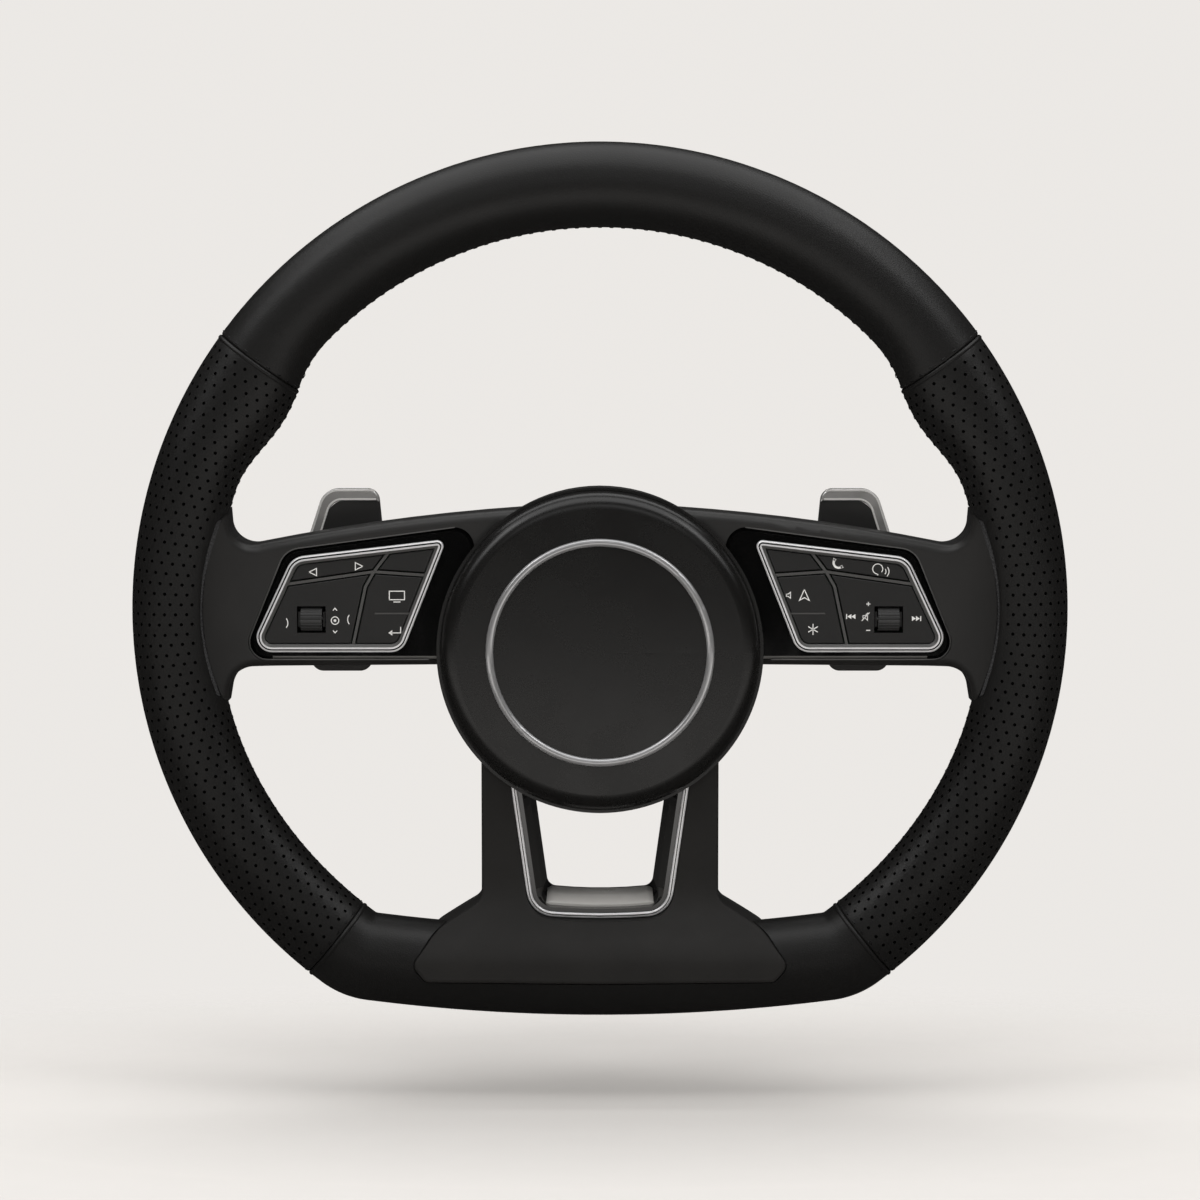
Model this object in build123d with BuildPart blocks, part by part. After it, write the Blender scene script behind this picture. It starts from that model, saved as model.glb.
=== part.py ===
from build123d import *
import os
from math import atan2, cos, degrees, pi, radians, sin, sqrt

# Flat-bottomed sports steering wheel with switch pods, shift paddles and an airbag module.
# The wheel lies in the XZ plane, +Z up, the driver looks along +Y and the column axis is Y.
# Depths are measured forward, towards the driver, from the rear end of the column bore.
# The right half is modelled and the left half is its mirror image.

os.makedirs("parts", exist_ok=True)

# Rim
wheel_radius = 185.0
rim_plane = 52.0
rim_depth = 30.0
grip_width = 33.4
lower_grip_width = 35.2
bottom_drop = 161.3
bottom_bow_radius = 726.0
corner_radius = 38.0
thumb_lobe = 5.8
thumb_angle = 58.5
thumb_spread = 13.0
upper_seam_angle = 53.5
lower_seam_angle = 141.0
leather_thickness = 1.3
seam_round = 0.8
glue_gap = 0.1
trim_let_in = 2.6
ring_radius = 6.0

# Inner edge of the rim, from which the spoke roots and the outer ends of the pods are placed
rim_inner = wheel_radius - grip_width

# Hub, column bore and skeleton
bore_radius = 9.0
bore_length = 22.0
insert_radius = 15.0
boss_radius = 20.0
boss_front = 27.0
plate_back = 22.0
plate_front = 27.0
plate_radius = 52.0
plate_centre_z = -10.0
bar_back = 32.0
bar_front = 36.0
bar_bottom = -9.0
bar_top = 19.0
bar_bend_start = 38.0
bar_bend_end = 50.0
bar_root = rim_inner - 10.1
bar_climb = 12.0
bar_end_back = 46.0
bar_end_front = 51.0
bar_clearance = 0.8
lower_bar_inner = 34.0
lower_bar_outer = 44.0
lower_bar_bend_start = 48.0
lower_bar_bend_end = 62.0
lower_bar_root = 106.0
lower_bar_climb = 20.0

# Spokes
trim_front = 49.0
parting = 36.0
rear_face = 29.0
trim_wall = 2.2
rear_wall = 1.8
trim_gap = 0.25
spoke_top_hub = (20.0, 41.6)
spoke_top_mid = (85.2, 35.4)
spoke_top_root = (rim_inner - 5.6, 24.8)
spoke_bottom_root = (rim_inner - 5.6, -22.0)
spoke_bottom_hub = (20.0, -21.0)
flare_top = (rim_inner - 4.4, 41.0)
flare_bottom = (rim_inner - 3.4, -36.0)
root_edge = (rim_inner + 4.4, 3.0)
flare_radius = 9.5
spoke_flat_end = rim_inner - 26.6
spoke_end = rim_inner + 5.4
root_front = 62.0
root_wall = rim_inner - 7.6
root_plane = 50.0
rear_flat_end = rim_inner - 13.6
rear_root = 42.0
rear_edge_round = 1.5
parting_gap = 0.2
trim_edge_round = 4.0
lower_edge_round = 1.5

# Lower spoke and its window
lower_neck = (47.3, -115.5)
lower_knee = (66.0, -126.5)
lower_corner = (74.5, -139.0)
lower_foot = (69.0, -145.5)
lower_rounds = (6.0, 14.0, 4.0, 4.0)
lower_bottom = -146.2
lower_top = -52.0
lower_flat_end = -104.0
lower_root_wall = -124.5
lower_rise = [(50.6, -114.0), (55.8, -122.5), (63.0, -129.5), (66.8, -135.5), (68.2, -147.5)]
lower_rear_flat_end = -116.0
lower_hollow_end = -119.0
lower_rear_end = -131.0
window_front = [(35.0, -58.0), (26.2, -119.6), (0.0, -120.9)]
window_rear = [(28.6, -58.0), (21.0, -112.8), (0.0, -114.0)]
window_mid = [(30.6, -58.0), (22.5, -117.2), (0.0, -118.4)]
window_corner_front = 9.0
window_corner_mid = 5.5
window_corner_rear = 4.0
bead_width = 2.1
bead_back = 46.5
bead_front = 50.0
bead_round = 0.8
liner_front = 49.2
liner_bend = 38.6
liner_wall = 1.5

# Airbag module and hub drum
airbag_z = -15.2
airbag_radius = 63.5
airbag_front = 61.0
airbag_crown = 0.8
airbag_edge_round = 7.0
airbag_wall = 3.0
lip_width = 1.3
lip_back = 51.6
lip_thickness = 1.3
cover_ring_radius = 45.1
cover_ring_width = 3.1
cover_ring_sink = 1.4
cover_ring_proud = 1.0
carrier_back = 38.5
carrier_floor = 2.5
carrier_wall = 2.0
generator_radius = 30.0
generator_back = 29.5
generator_front = 46.0
generator_flange = 36.0
cushion_radius = 54.0
cushion_front = 56.5
horn_pin_circle = 42.0
horn_pin_radius = 3.0
horn_head_radius = 5.0
horn_head = 2.0
stop_gap = 0.3
nut_radius = 2.6
nut_height = 2.2
buffer_bore = 3.3
buffer_waist = 4.6
buffer_belly = 6.2
buffer_ribs = 3
running_clearance = 0.06
drum_margin = 0.1
drum_wall = 2.2
drum_back = 8.0
drum_floor = 2.0
drum_round = 7.0
drum_gap = 0.4

# Switch pods
pod_inner_top = (60.6, 29.0)
pod_outer_top = (rim_inner - 29.7, 21.8)
pod_outer_bottom = (rim_inner - 11.9, -16.0)
pod_inner_bottom = (78.4, -16.0)
pod_rounds = (2.5, 8.0, 6.0, 7.0)
frame_bead = 2.0
frame_slope = 1.1
frame_front = 50.6
gloss_corners = [(50.0, 34.6), (rim_inner - 26.8, 24.6), (rim_inner - 9.0, -19.0), (50.0, -19.0)]
gloss_rounds = (8.0, 9.0, 7.0)
gloss_back = 46.2
gloss_front = 48.8
gloss_chamfer = 1.4
key_front = 49.6
key_thickness = 2.8
divider_width = 1.1
divider_gap = 0.5
divider_sink = 0.2
frame_gap = 0.35
key_round = 0.4
key_joint = (89.6, 16.0)
key_top_split = (82.5, 25.2)
key_right_split = (67.5, 14.5)
key_bottom_split = (98.6, -16.0)
key_bend = (93.0, 10.0)
key_left_split = (rim_inner - 25.8, 10.8)
housing_floor = 1.4
housing_wall = 1.6
housing_lip = 1.0
board_thickness = 1.2
board_gap = 0.4
tab_switches = [(93.5, 18.6), (rim_inner - 36.6, 16.8)]
view_switches = [(84.5, 8.5), (84.5, -9.5)]
selector_switch_reach = (-11.5, 14.0)
selector_switch_z = -8.0
switch_size = 3.0
switch_front = 45.8
pivot_depth = 43.2
pivot_radius = 1.2
web_length = 1.7
web_width = 2.6
tower_length = 2.2
tower_width = 5.0
tower_gap = 0.2
tab_axis_shift = 0.15
tab_span = (15.2, 20.2)
selector_axis_shift = -0.2
selector_span = (-11.0, 8.2)
view_axis_z = -0.6
view_span = (78.5, 90.5)
stem_place = (75.6, 21.0)
stem_radius = 2.5
sleeve_wall = 1.4
stem_back = 39.0
guide_front = 42.0
groove_length = 15.0
groove_width = 0.8
groove_depth = 0.5
roller_offset = 2.5
roller_z = -3.0
roller_radius = 5.0
roller_length = 8.4
roller_depth = 46.3
roller_grooves = 20
axle_radius = 0.9
cradle_arm = 0.9
cradle_back = 38.0
cradle_base = 1.1
cradle_height = 6.0
cradle_gap = 0.25
window_gap = 0.35
roller_window_height = 10.6

# Paddles
paddle_pivot_x = 44.0
paddle_pivot_depth = 16.0
paddle_boss_radius = 4.0
paddle_pin_radius = 2.0
paddle_bottom = -4.4
paddle_top = 14.4
paddle_arm_back = 14.0
paddle_arm_end = 96.4
blade_back = 18.0
blade_front = 22.0
blade_corners = [(89.5, 47.5), (111.3, 47.5), (121.5, 16.3), (116.5, -26.5), (92.9, -26.5), (86.5, 16.3)]
blade_rounds = (5.0, 8.0, 22.0, 5.0, 5.0, 12.0)
cap_side = 2.6
cap_top = 4.7
cap_low = 8.0
cap_proud = 0.8
bracket_half = 4.5
bracket_ear = 3.7
ear_gap = 0.4
slot_margin = 1.4

# Screws of the rear cover
screw_places = [(25.0, 25.0), (16.0, -50.0)]
screw_radius = 2.0
screw_head_radius = 4.0
screw_head = 2.4
screw_boss_radius = 4.2
screw_bite = 4.0

# Values that follow from those above
bow_z = bottom_bow_radius - bottom_drop
corner_reach = wheel_radius - corner_radius
bow_reach = bottom_bow_radius - corner_radius
corner_z = (bow_z**2 + corner_reach**2 - bow_reach**2) / (2 * bow_z)
corner_x = sqrt(corner_reach**2 - corner_z**2)
corner_turn = degrees(atan2(corner_x, -corner_z))
bow_turn = degrees(atan2(corner_x, bow_z - corner_z))
upper_seam = 180 - upper_seam_angle
lower_seam = 180 - lower_seam_angle
frame_width = frame_bead + frame_slope
key_back = key_front - key_thickness
key_gap = divider_width + 2 * divider_gap
lip_radius = airbag_radius + lip_width
drum_radius = airbag_radius + drum_margin
tab_axis_x = (key_top_split[0] + key_left_split[0]) / 2 + tab_axis_shift
selector_axis_x = (key_bottom_split[0] + key_left_split[0]) / 2 + selector_axis_shift
roller_x = selector_axis_x + roller_offset
selector_switches = [(selector_axis_x + reach, selector_switch_z) for reach in selector_switch_reach]
switch_places = tab_switches + view_switches + selector_switches
drum_axis = Axis((0, 0, airbag_z), (0, 1, 0))


def facing(depth):
    """Plane parallel to the wheel at a depth, seen by the driver: x right, y up."""
    return Plane.XZ.offset(depth)


def outward(turn):
    """Direction across the rim; turn 0 points down and 90 to the right."""
    return Vector(sin(radians(turn)), 0, -cos(radians(turn)))


def section_plane(x, z, radius, turn, inward):
    """Plane across the rim, at a distance inward from an outer arc about (x, z)."""
    across = outward(turn)
    centre = Vector(x, -rim_plane, z) + across * (radius - inward)
    return Plane(origin=centre, x_dir=across, z_dir=across.cross(Vector(0, -1, 0)))


def rim_arcs(start, end):
    """Arcs of the outer edge between two turns: centre x and z, radius, first and last turn."""
    arcs = [
        (0, 0, wheel_radius, corner_turn, 360 - corner_turn),
        (corner_x, corner_z, corner_radius, bow_turn, corner_turn),
        (0, bow_z, bottom_bow_radius, -bow_turn, bow_turn),
        (-corner_x, corner_z, corner_radius, -corner_turn, -bow_turn),
        (0, 0, wheel_radius, corner_turn - 360, -corner_turn),
    ]
    clipped = [(x, z, r, max(a, start), min(b, end)) for x, z, r, a, b in arcs]
    return [arc for arc in clipped if arc[4] - arc[3] > 0.01]


def rim_revolved(start, end, inward, half_width, half_depth):
    """Even oval section carried round the outer edge from one turn to another."""
    with BuildPart() as run:
        for x, z, radius, first, last in rim_arcs(start, end):
            with BuildSketch(section_plane(x, z, radius, first, inward)):
                Ellipse(half_width, half_depth)
            axis = Axis((x, -rim_plane, z), (0, -1, 0))
            revolve(axis=axis, revolution_arc=last - first)
    return run.part


def width_at(turn):
    """Width of the grip across the rim, with the thumb lobes and the wider bottom."""
    from_top = abs(180 - turn)
    off_lobe = (from_top - thumb_angle) / thumb_spread
    lobe = thumb_lobe * (1 + cos(pi * off_lobe)) / 2 if abs(off_lobe) < 1 else 0
    low = min(max((from_top - 105) / (lower_seam_angle - 105), 0), 1)
    return grip_width + lobe + (lower_grip_width - grip_width) * low**2 * (3 - 2 * low)


def rim_lofted(start, end, steps, inset):
    """Oval section of varying width lofted along the round part of the rim."""
    with BuildPart() as run:
        for step in range(steps + 1):
            turn = start + (end - start) * step / steps
            half = width_at(turn) / 2
            with BuildSketch(section_plane(0, 0, wheel_radius, turn, half)):
                Ellipse(half - inset, rim_depth / 2 - inset)
        loft()
    return run.part


def rim_top(inset):
    return rim_lofted(upper_seam, 360 - upper_seam, 22, inset)


def rim_grip(inset):
    return rim_lofted(lower_seam, upper_seam, 18, inset)


def rim_bottom(inset):
    half = lower_grip_width / 2
    return rim_revolved(-lower_seam, lower_seam, half, half - inset, rim_depth / 2 - inset)


def rim_core(start, end, width):
    """Rim shrunk by the depth to which trims are let into it."""
    half = width / 2
    return rim_revolved(start, end, half, half - trim_let_in, rim_depth / 2 - trim_let_in)


def finish(piece, label):
    """Label a finished piece and write its file."""
    piece.part.label = label
    export_step(piece.part, f"parts/{label}.step")


def finish_pair(right, label):
    """Write a right-hand piece and its mirror image."""
    with BuildPart() as left:
        mirror(right.part, about=Plane.YZ)
    finish(right, f"right_{label}")
    finish(left, f"left_{label}")


# Outlines seen by the driver
with BuildSketch() as spoke_face:
    with BuildLine():
        ThreePointArc(spoke_top_hub, spoke_top_mid, spoke_top_root)
        Line(spoke_top_root, flare_top)
        ThreePointArc(flare_top, root_edge, flare_bottom)
        Polyline(flare_bottom, spoke_bottom_root, spoke_bottom_hub, spoke_top_hub)
    make_face()
    for corner in (spoke_top_root, spoke_bottom_root):
        fillet(spoke_face.vertices().sort_by_distance(corner)[0], radius=flare_radius)

with BuildSketch() as lower_face:
    with BuildLine():
        Polyline(
            (0, lower_top),
            (lower_neck[0], lower_top),
            lower_neck,
            lower_knee,
            lower_corner,
            lower_foot,
            (0, lower_bottom),
            close=True,
        )
    make_face()
    for corner, radius in zip((lower_neck, lower_knee, lower_corner, lower_foot), lower_rounds):
        fillet(lower_face.vertices().sort_by_distance(corner)[0], radius=radius)
    mirror(about=Plane.YZ)


def window_outline(points, corner_round, grow):
    """Outline of the lower-spoke window, grown all round."""
    with BuildSketch() as window:
        with BuildLine():
            top, corner, bottom = points
            far_corner, far_top = (-corner[0], corner[1]), (-top[0], top[1])
            ThreePointArc(corner, bottom, far_corner)
            Polyline(far_corner, far_top, top, corner)
        make_face()
        fillet(window.vertices().group_by(Axis.Y)[0], radius=corner_round)
        if grow:
            offset(amount=grow, kind=Kind.INTERSECTION)
    return window.sketch


def pod_outline(grow):
    """Outline of the pod frame, grown all round."""
    corners = (pod_inner_top, pod_outer_top, pod_outer_bottom, pod_inner_bottom)
    with BuildSketch() as pod:
        with BuildLine():
            Polyline(*corners, close=True)
        make_face()
        for corner, radius in zip(corners, pod_rounds):
            fillet(pod.vertices().sort_by_distance(corner)[0], radius=radius)
        if grow:
            offset(amount=grow, kind=Kind.INTERSECTION)
    return pod.sketch


def gloss_outline(grow):
    """Outline of the gloss surround, grown all round."""
    with BuildSketch() as gloss:
        with BuildLine():
            Polyline(*gloss_corners, close=True)
        make_face()
        for corner, radius in zip(gloss_corners, gloss_rounds):
            fillet(gloss.vertices().sort_by_distance(corner)[0], radius=radius)
        if grow:
            offset(amount=grow, kind=Kind.INTERSECTION)
    return gloss.sketch


def drum_bore(radius, back, front):
    """Plain cylinder about the airbag axis, used as a cutter."""
    with BuildPart() as bore:
        with BuildSketch(facing(back)):
            with Locations((0, airbag_z)):
                Circle(radius)
        extrude(amount=front - back)
    return bore.part


def side_bar(grow):
    """Right-hand bar of the skeleton, bent in the XY plane; grown it cuts its own passage."""
    with BuildPart() as bar:
        with BuildSketch(Plane.XY.offset(bar_bottom - grow)):
            with BuildLine():
                Polyline(
                    (0, -plate_back),
                    (bar_bend_start, -plate_back),
                    (bar_bend_end, -bar_back),
                    (bar_root, -bar_back),
                    (bar_root + bar_climb, -bar_end_back),
                    (wheel_radius - grip_width / 2, -bar_end_back - 1),
                    (wheel_radius - grip_width / 2 - 2, -bar_end_front - 5),
                    (bar_root + bar_climb - 2, -bar_end_front),
                    (bar_root - 3, -bar_front),
                    (bar_bend_end - 3, -bar_front),
                    (bar_bend_start - 3, -plate_front),
                    (0, -plate_front),
                    close=True,
                )
            make_face()
            if grow:
                offset(amount=grow, kind=Kind.INTERSECTION)
        extrude(amount=bar_top - bar_bottom + 2 * grow)
    return bar.part


def lower_bars(grow):
    """Pair of lower bars, bent in the YZ plane; grown they cut their own passage."""
    with BuildPart() as bars:
        with BuildSketch(Plane.YZ.offset(lower_bar_inner - grow)):
            with BuildLine():
                Polyline(
                    (-plate_back, -10),
                    (-plate_back, -lower_bar_bend_start),
                    (-bar_back, -lower_bar_bend_end),
                    (-bar_back, -lower_bar_root),
                    (-bar_end_back, -lower_bar_root - lower_bar_climb),
                    (-bar_end_back - 1, lower_grip_width / 2 - bottom_drop),
                    (-bar_end_front - 5, lower_grip_width / 2 - bottom_drop + 2),
                    (-bar_end_front, 2 - lower_bar_root - lower_bar_climb),
                    (-bar_front, 3 - lower_bar_root),
                    (-bar_front, 3 - lower_bar_bend_end),
                    (-plate_front, 3 - lower_bar_bend_start),
                    (-plate_front, -10),
                    close=True,
                )
            make_face()
            if grow:
                offset(amount=grow, kind=Kind.INTERSECTION)
        extrude(amount=lower_bar_outer - lower_bar_inner + 2 * grow)
        mirror(about=Plane.YZ)
    return bars.part


horn_turns = [radians(turn) for turn in (90, 210, 330)]
horn_places = [(horn_pin_circle * cos(t), airbag_z + horn_pin_circle * sin(t)) for t in horn_turns]
cover_screw_places = screw_places + [(-x, z) for x, z in screw_places]

# Cast skeleton: hub plate and boss, side bars, lower bars and the ring inside the rim
with BuildPart() as armature:
    with BuildSketch(facing(plate_back)):
        with Locations((0, plate_centre_z)):
            Circle(plate_radius)
    extrude(amount=plate_front - plate_back)
    with BuildSketch(facing(1)):
        Circle(boss_radius)
    extrude(amount=boss_front - 1)
    add(side_bar(0))
    mirror(side_bar(0), about=Plane.YZ)
    add(lower_bars(0))
    add(rim_revolved(-corner_turn, 360 - corner_turn, grip_width / 2, ring_radius, ring_radius))
    with BuildSketch(facing(0)):
        Circle(insert_radius)
    extrude(amount=boss_front + 10, mode=Mode.SUBTRACT)
    with BuildSketch(facing(plate_back)):
        with Locations(*horn_places):
            Circle(horn_pin_radius + running_clearance)
    extrude(amount=plate_front - plate_back, mode=Mode.SUBTRACT)
    with BuildSketch(facing(plate_back)):
        with Locations(*cover_screw_places):
            Circle(screw_radius)
    extrude(amount=screw_bite, mode=Mode.SUBTRACT)
finish(armature, "armature")

# Steel bush with the column bore
with BuildPart() as hub_insert:
    with BuildSketch(facing(0)):
        Circle(insert_radius)
        Circle(bore_radius, mode=Mode.SUBTRACT)
    extrude(amount=bore_length)
finish(hub_insert, "hub_insert")


def spoke_prism():
    """Outline of the right spoke carried through its whole depth."""
    with BuildPart() as prism:
        with BuildSketch(facing(rear_face - 1)):
            add(spoke_face.sketch)
        extrude(amount=rim_plane + rim_depth / 2 - rear_face)
    return prism.part


def lower_prism():
    """Outline of the lower spoke carried through its whole depth."""
    with BuildPart() as prism:
        with BuildSketch(facing(rear_face - 1)):
            add(lower_face.sketch)
        extrude(amount=rim_plane + rim_depth - rear_face)
    return prism.part


def long_edges(faces):
    """Upper and lower edges of the spoke's front or back, without those at the hub and the rim."""
    along = faces.edges().filter_by(lambda e: 22 < e.center().X < rim_inner - 3.6)
    return along.filter_by(lambda e: abs(e.center().Z - 5) > 15)


# Right spoke trim: flat by the pod, rising to the rim at its root
with BuildPart() as right_spoke_trim:
    add(spoke_prism())
    with BuildSketch(Plane.XY.offset(-60)):
        with BuildLine():
            Polyline(
                (spoke_flat_end, -trim_front),
                (0, -trim_front),
                (0, -parting),
                (spoke_end, -parting),
                (spoke_end, -root_front),
            )
            TangentArc((spoke_flat_end, -trim_front), (spoke_end, -root_front), tangent=(1, 0))
        make_face()
    extrude(amount=120, mode=Mode.INTERSECT)
    front_faces = right_spoke_trim.faces().filter_by(lambda f: f.normal_at().Y < -0.5)
    fillet(long_edges(front_faces), radius=trim_edge_round)
    with BuildSketch(facing(parting)):
        with Locations((root_wall, 0)):
            Rectangle(2 * (spoke_end - root_wall), 120, align=(Align.MIN, Align.CENTER))
    extrude(amount=root_plane - parting, mode=Mode.SUBTRACT)
    with BuildSketch(facing(parting)):
        add(spoke_face.sketch)
        offset(amount=-trim_wall)
        with Locations((root_wall - trim_wall, 0)):
            Rectangle(200, 200, align=(Align.MAX, Align.CENTER), mode=Mode.INTERSECT)
    extrude(amount=trim_front - trim_wall - parting, mode=Mode.SUBTRACT)
    with BuildSketch(facing(parting)):
        add(gloss_outline(trim_gap))
    extrude(amount=2 * (trim_front - parting), mode=Mode.SUBTRACT)
    add(drum_bore(drum_radius + drum_gap, parting - 1, trim_front + 1), mode=Mode.SUBTRACT)
    add(side_bar(trim_gap), mode=Mode.SUBTRACT)
    add(rim_core(60, 120, grip_width), mode=Mode.SUBTRACT)
finish_pair(right_spoke_trim, "spoke_trim")

# Lower spoke trim: flat round the window, then over the front of the bottom rim
with BuildPart() as lower_spoke_trim:
    add(lower_prism())
    with BuildSketch(Plane.YZ.offset(-90)):
        with BuildLine():
            Polyline(
                (-trim_front, lower_flat_end),
                (-trim_front, 0),
                (-parting, 0),
                (-parting, lower_rise[-1][1]),
                (-lower_rise[-1][0], lower_rise[-1][1]),
            )
            Spline(
                (-trim_front, lower_flat_end),
                *[(-depth, z) for depth, z in lower_rise],
                tangents=[(0, -1), (-0.1, -1)],
            )
        make_face()
    extrude(amount=180, mode=Mode.INTERSECT)
    front_faces = lower_spoke_trim.faces().filter_by(lambda f: f.normal_at().Y < -0.4)
    side_edges = front_faces.edges().filter_by(lambda e: abs(e.center().X) > 5)
    fillet(side_edges.filter_by(lambda e: e.center().Z < lower_top - 2), radius=lower_edge_round)
    with BuildSketch(facing(parting)):
        with Locations((0, lower_root_wall)):
            Rectangle(200, 60, align=(Align.CENTER, Align.MAX))
    extrude(amount=root_plane - parting, mode=Mode.SUBTRACT)
    with BuildSketch(facing(parting)):
        add(lower_face.sketch)
        offset(amount=-trim_wall)
        with Locations((0, lower_root_wall + trim_wall)):
            Rectangle(200, 200, align=(Align.CENTER, Align.MIN), mode=Mode.INTERSECT)
    extrude(amount=trim_front - trim_wall - parting, mode=Mode.SUBTRACT)
    with BuildSketch(facing(parting)):
        add(window_outline(window_front, window_corner_front, bead_width + trim_gap))
    extrude(amount=2 * (trim_front - parting), mode=Mode.SUBTRACT)
    add(drum_bore(drum_radius + drum_gap, parting - 1, trim_front + 1), mode=Mode.SUBTRACT)
    add(lower_bars(trim_gap), mode=Mode.SUBTRACT)
    add(rim_core(-lower_seam, lower_seam, lower_grip_width), mode=Mode.SUBTRACT)
finish(lower_spoke_trim, "lower_spoke_trim")


def rear_side():
    """Rear half of the right spoke, before it is hollowed."""
    with BuildPart() as side:
        add(spoke_prism())
        with BuildSketch(Plane.XY.offset(-60)):
            with BuildLine():
                Polyline(
                    (rear_flat_end, -rear_face),
                    (0, -rear_face),
                    (0, parting_gap - root_plane),
                    (spoke_end, parting_gap - root_plane),
                    (spoke_end, -rear_root),
                )
                TangentArc((rear_flat_end, -rear_face), (spoke_end, -rear_root), tangent=(1, 0))
            make_face()
        extrude(amount=120, mode=Mode.INTERSECT)
        back_faces = side.faces().filter_by(lambda f: f.normal_at().Y > 0.5)
        fillet(long_edges(back_faces), radius=rear_edge_round)
        with BuildSketch(facing(parting - parting_gap)):
            with Locations((root_wall, 0)):
                Rectangle(200, 120, align=(Align.MAX, Align.CENTER))
        extrude(amount=rim_depth, mode=Mode.SUBTRACT)
    return side.part


def rear_lower():
    """Rear half of the lower spoke, before it is hollowed."""
    with BuildPart() as lower:
        add(lower_prism())
        with BuildSketch(Plane.YZ.offset(-90)):
            with BuildLine():
                Polyline(
                    (-rear_face, lower_rear_flat_end),
                    (-rear_face, 0),
                    (parting_gap - root_plane, 0),
                    (parting_gap - root_plane, lower_rear_end),
                    (-rear_root, lower_rear_end),
                )
                ends = [(-rear_face, lower_rear_flat_end), (-rear_root, lower_rear_end)]
                TangentArc(*ends, tangent=(0, -1))
            make_face()
        extrude(amount=180, mode=Mode.INTERSECT)
        with BuildSketch(facing(parting - parting_gap)):
            with Locations((0, lower_root_wall)):
                Rectangle(200, 200, align=(Align.CENTER, Align.MIN))
        extrude(amount=rim_depth, mode=Mode.SUBTRACT)
    return lower.part


# Rear cover: hub drum and the backs of the three spokes in one moulding
with BuildPart() as rear_cover:
    with BuildSketch(facing(drum_back)):
        with Locations((0, airbag_z)):
            Circle(drum_radius)
    extrude(amount=trim_front - drum_back)
    fillet(rear_cover.edges().sort_by(Axis.Y)[-1], radius=drum_round)
    add(rear_side())
    mirror(rear_side(), about=Plane.YZ)
    add(rear_lower())
    with BuildSketch(facing(rear_face + rear_wall)):
        add(spoke_face.sketch)
        offset(amount=-rear_wall)
        with Locations((root_wall - rear_wall, 0)):
            Rectangle(200, 200, align=(Align.MAX, Align.CENTER), mode=Mode.INTERSECT)
        mirror(about=Plane.YZ)
    extrude(amount=parting - rear_face - rear_wall, mode=Mode.SUBTRACT)
    with BuildSketch(facing(rear_face + rear_wall)):
        add(lower_face.sketch)
        offset(amount=-rear_wall)
        with Locations((0, lower_hollow_end)):
            Rectangle(200, 200, align=(Align.CENTER, Align.MIN), mode=Mode.INTERSECT)
    extrude(amount=parting - rear_face - rear_wall, mode=Mode.SUBTRACT)
    add(drum_bore(drum_radius - drum_wall, drum_back + drum_floor, trim_front + 1), mode=Mode.SUBTRACT)
    with BuildSketch(facing(drum_back)):
        with Locations(*cover_screw_places):
            Circle(screw_boss_radius)
    extrude(amount=plate_back - drum_back)
    with BuildSketch(facing(drum_back - 1)):
        Circle(boss_radius + drum_gap)
        with Locations(*cover_screw_places):
            Circle(screw_radius + trim_gap)
    extrude(amount=plate_back, mode=Mode.SUBTRACT)
    add(side_bar(bar_clearance), mode=Mode.SUBTRACT)
    mirror(side_bar(bar_clearance), about=Plane.YZ, mode=Mode.SUBTRACT)
    add(lower_bars(bar_clearance), mode=Mode.SUBTRACT)
    with BuildSketch(facing(rear_face - 1)):
        add(window_outline(window_rear, window_corner_rear, 0))
    extrude(amount=rear_wall + 2, mode=Mode.SUBTRACT)
    with BuildSketch(facing(paddle_arm_back - slot_margin)):
        with Locations((paddle_pivot_x + paddle_boss_radius, (paddle_bottom + paddle_top) / 2)):
            Rectangle(30, paddle_top - paddle_bottom + 2 * slot_margin, align=(Align.MIN, Align.CENTER))
        mirror(about=Plane.YZ)
    extrude(amount=blade_back - paddle_arm_back + 3 * slot_margin, mode=Mode.SUBTRACT)
    add(rim_core(60, 120, grip_width), mode=Mode.SUBTRACT)
    add(rim_core(240, 300, grip_width), mode=Mode.SUBTRACT)
    add(rim_core(-lower_seam, lower_seam, lower_grip_width), mode=Mode.SUBTRACT)
finish(rear_cover, "rear_cover")

# Screws of the rear cover, from behind into the hub plate
with BuildPart() as rear_cover_screws:
    with BuildSketch(facing(drum_back)):
        with Locations(*cover_screw_places):
            Circle(screw_radius)
    extrude(amount=plate_back + screw_bite - drum_back)
    with BuildSketch(facing(drum_back - screw_head)):
        with Locations(*cover_screw_places):
            Circle(screw_head_radius)
    extrude(amount=screw_head)
    with BuildSketch(facing(drum_back - screw_head)):
        with Locations(*cover_screw_places):
            RegularPolygon(screw_head_radius / 2, 6)
    extrude(amount=screw_head / 2, mode=Mode.SUBTRACT)
finish(rear_cover_screws, "rear_cover_screws")


def leather_panel(outer, inner):
    """Leather shell with its sewn ends turned in."""
    with BuildPart() as panel:
        add(outer)
        add(inner, mode=Mode.SUBTRACT)
        ends = [face.outer_wire().edge() for face in panel.faces().filter_by(GeomType.PLANE)]
        fillet(ends, radius=seam_round)
    return panel.part


# Sewn leather panels
with BuildPart() as top_leather:
    add(leather_panel(rim_top(0), rim_top(leather_thickness)))
finish(top_leather, "top_leather")

with BuildPart() as right_grip_leather:
    add(leather_panel(rim_grip(0), rim_grip(leather_thickness)))
    with BuildSketch(facing(rear_root - 2)):
        add(spoke_face.sketch)
        offset(amount=trim_gap, kind=Kind.INTERSECTION)
    extrude(amount=rim_depth, mode=Mode.SUBTRACT)
finish_pair(right_grip_leather, "grip_leather")

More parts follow.
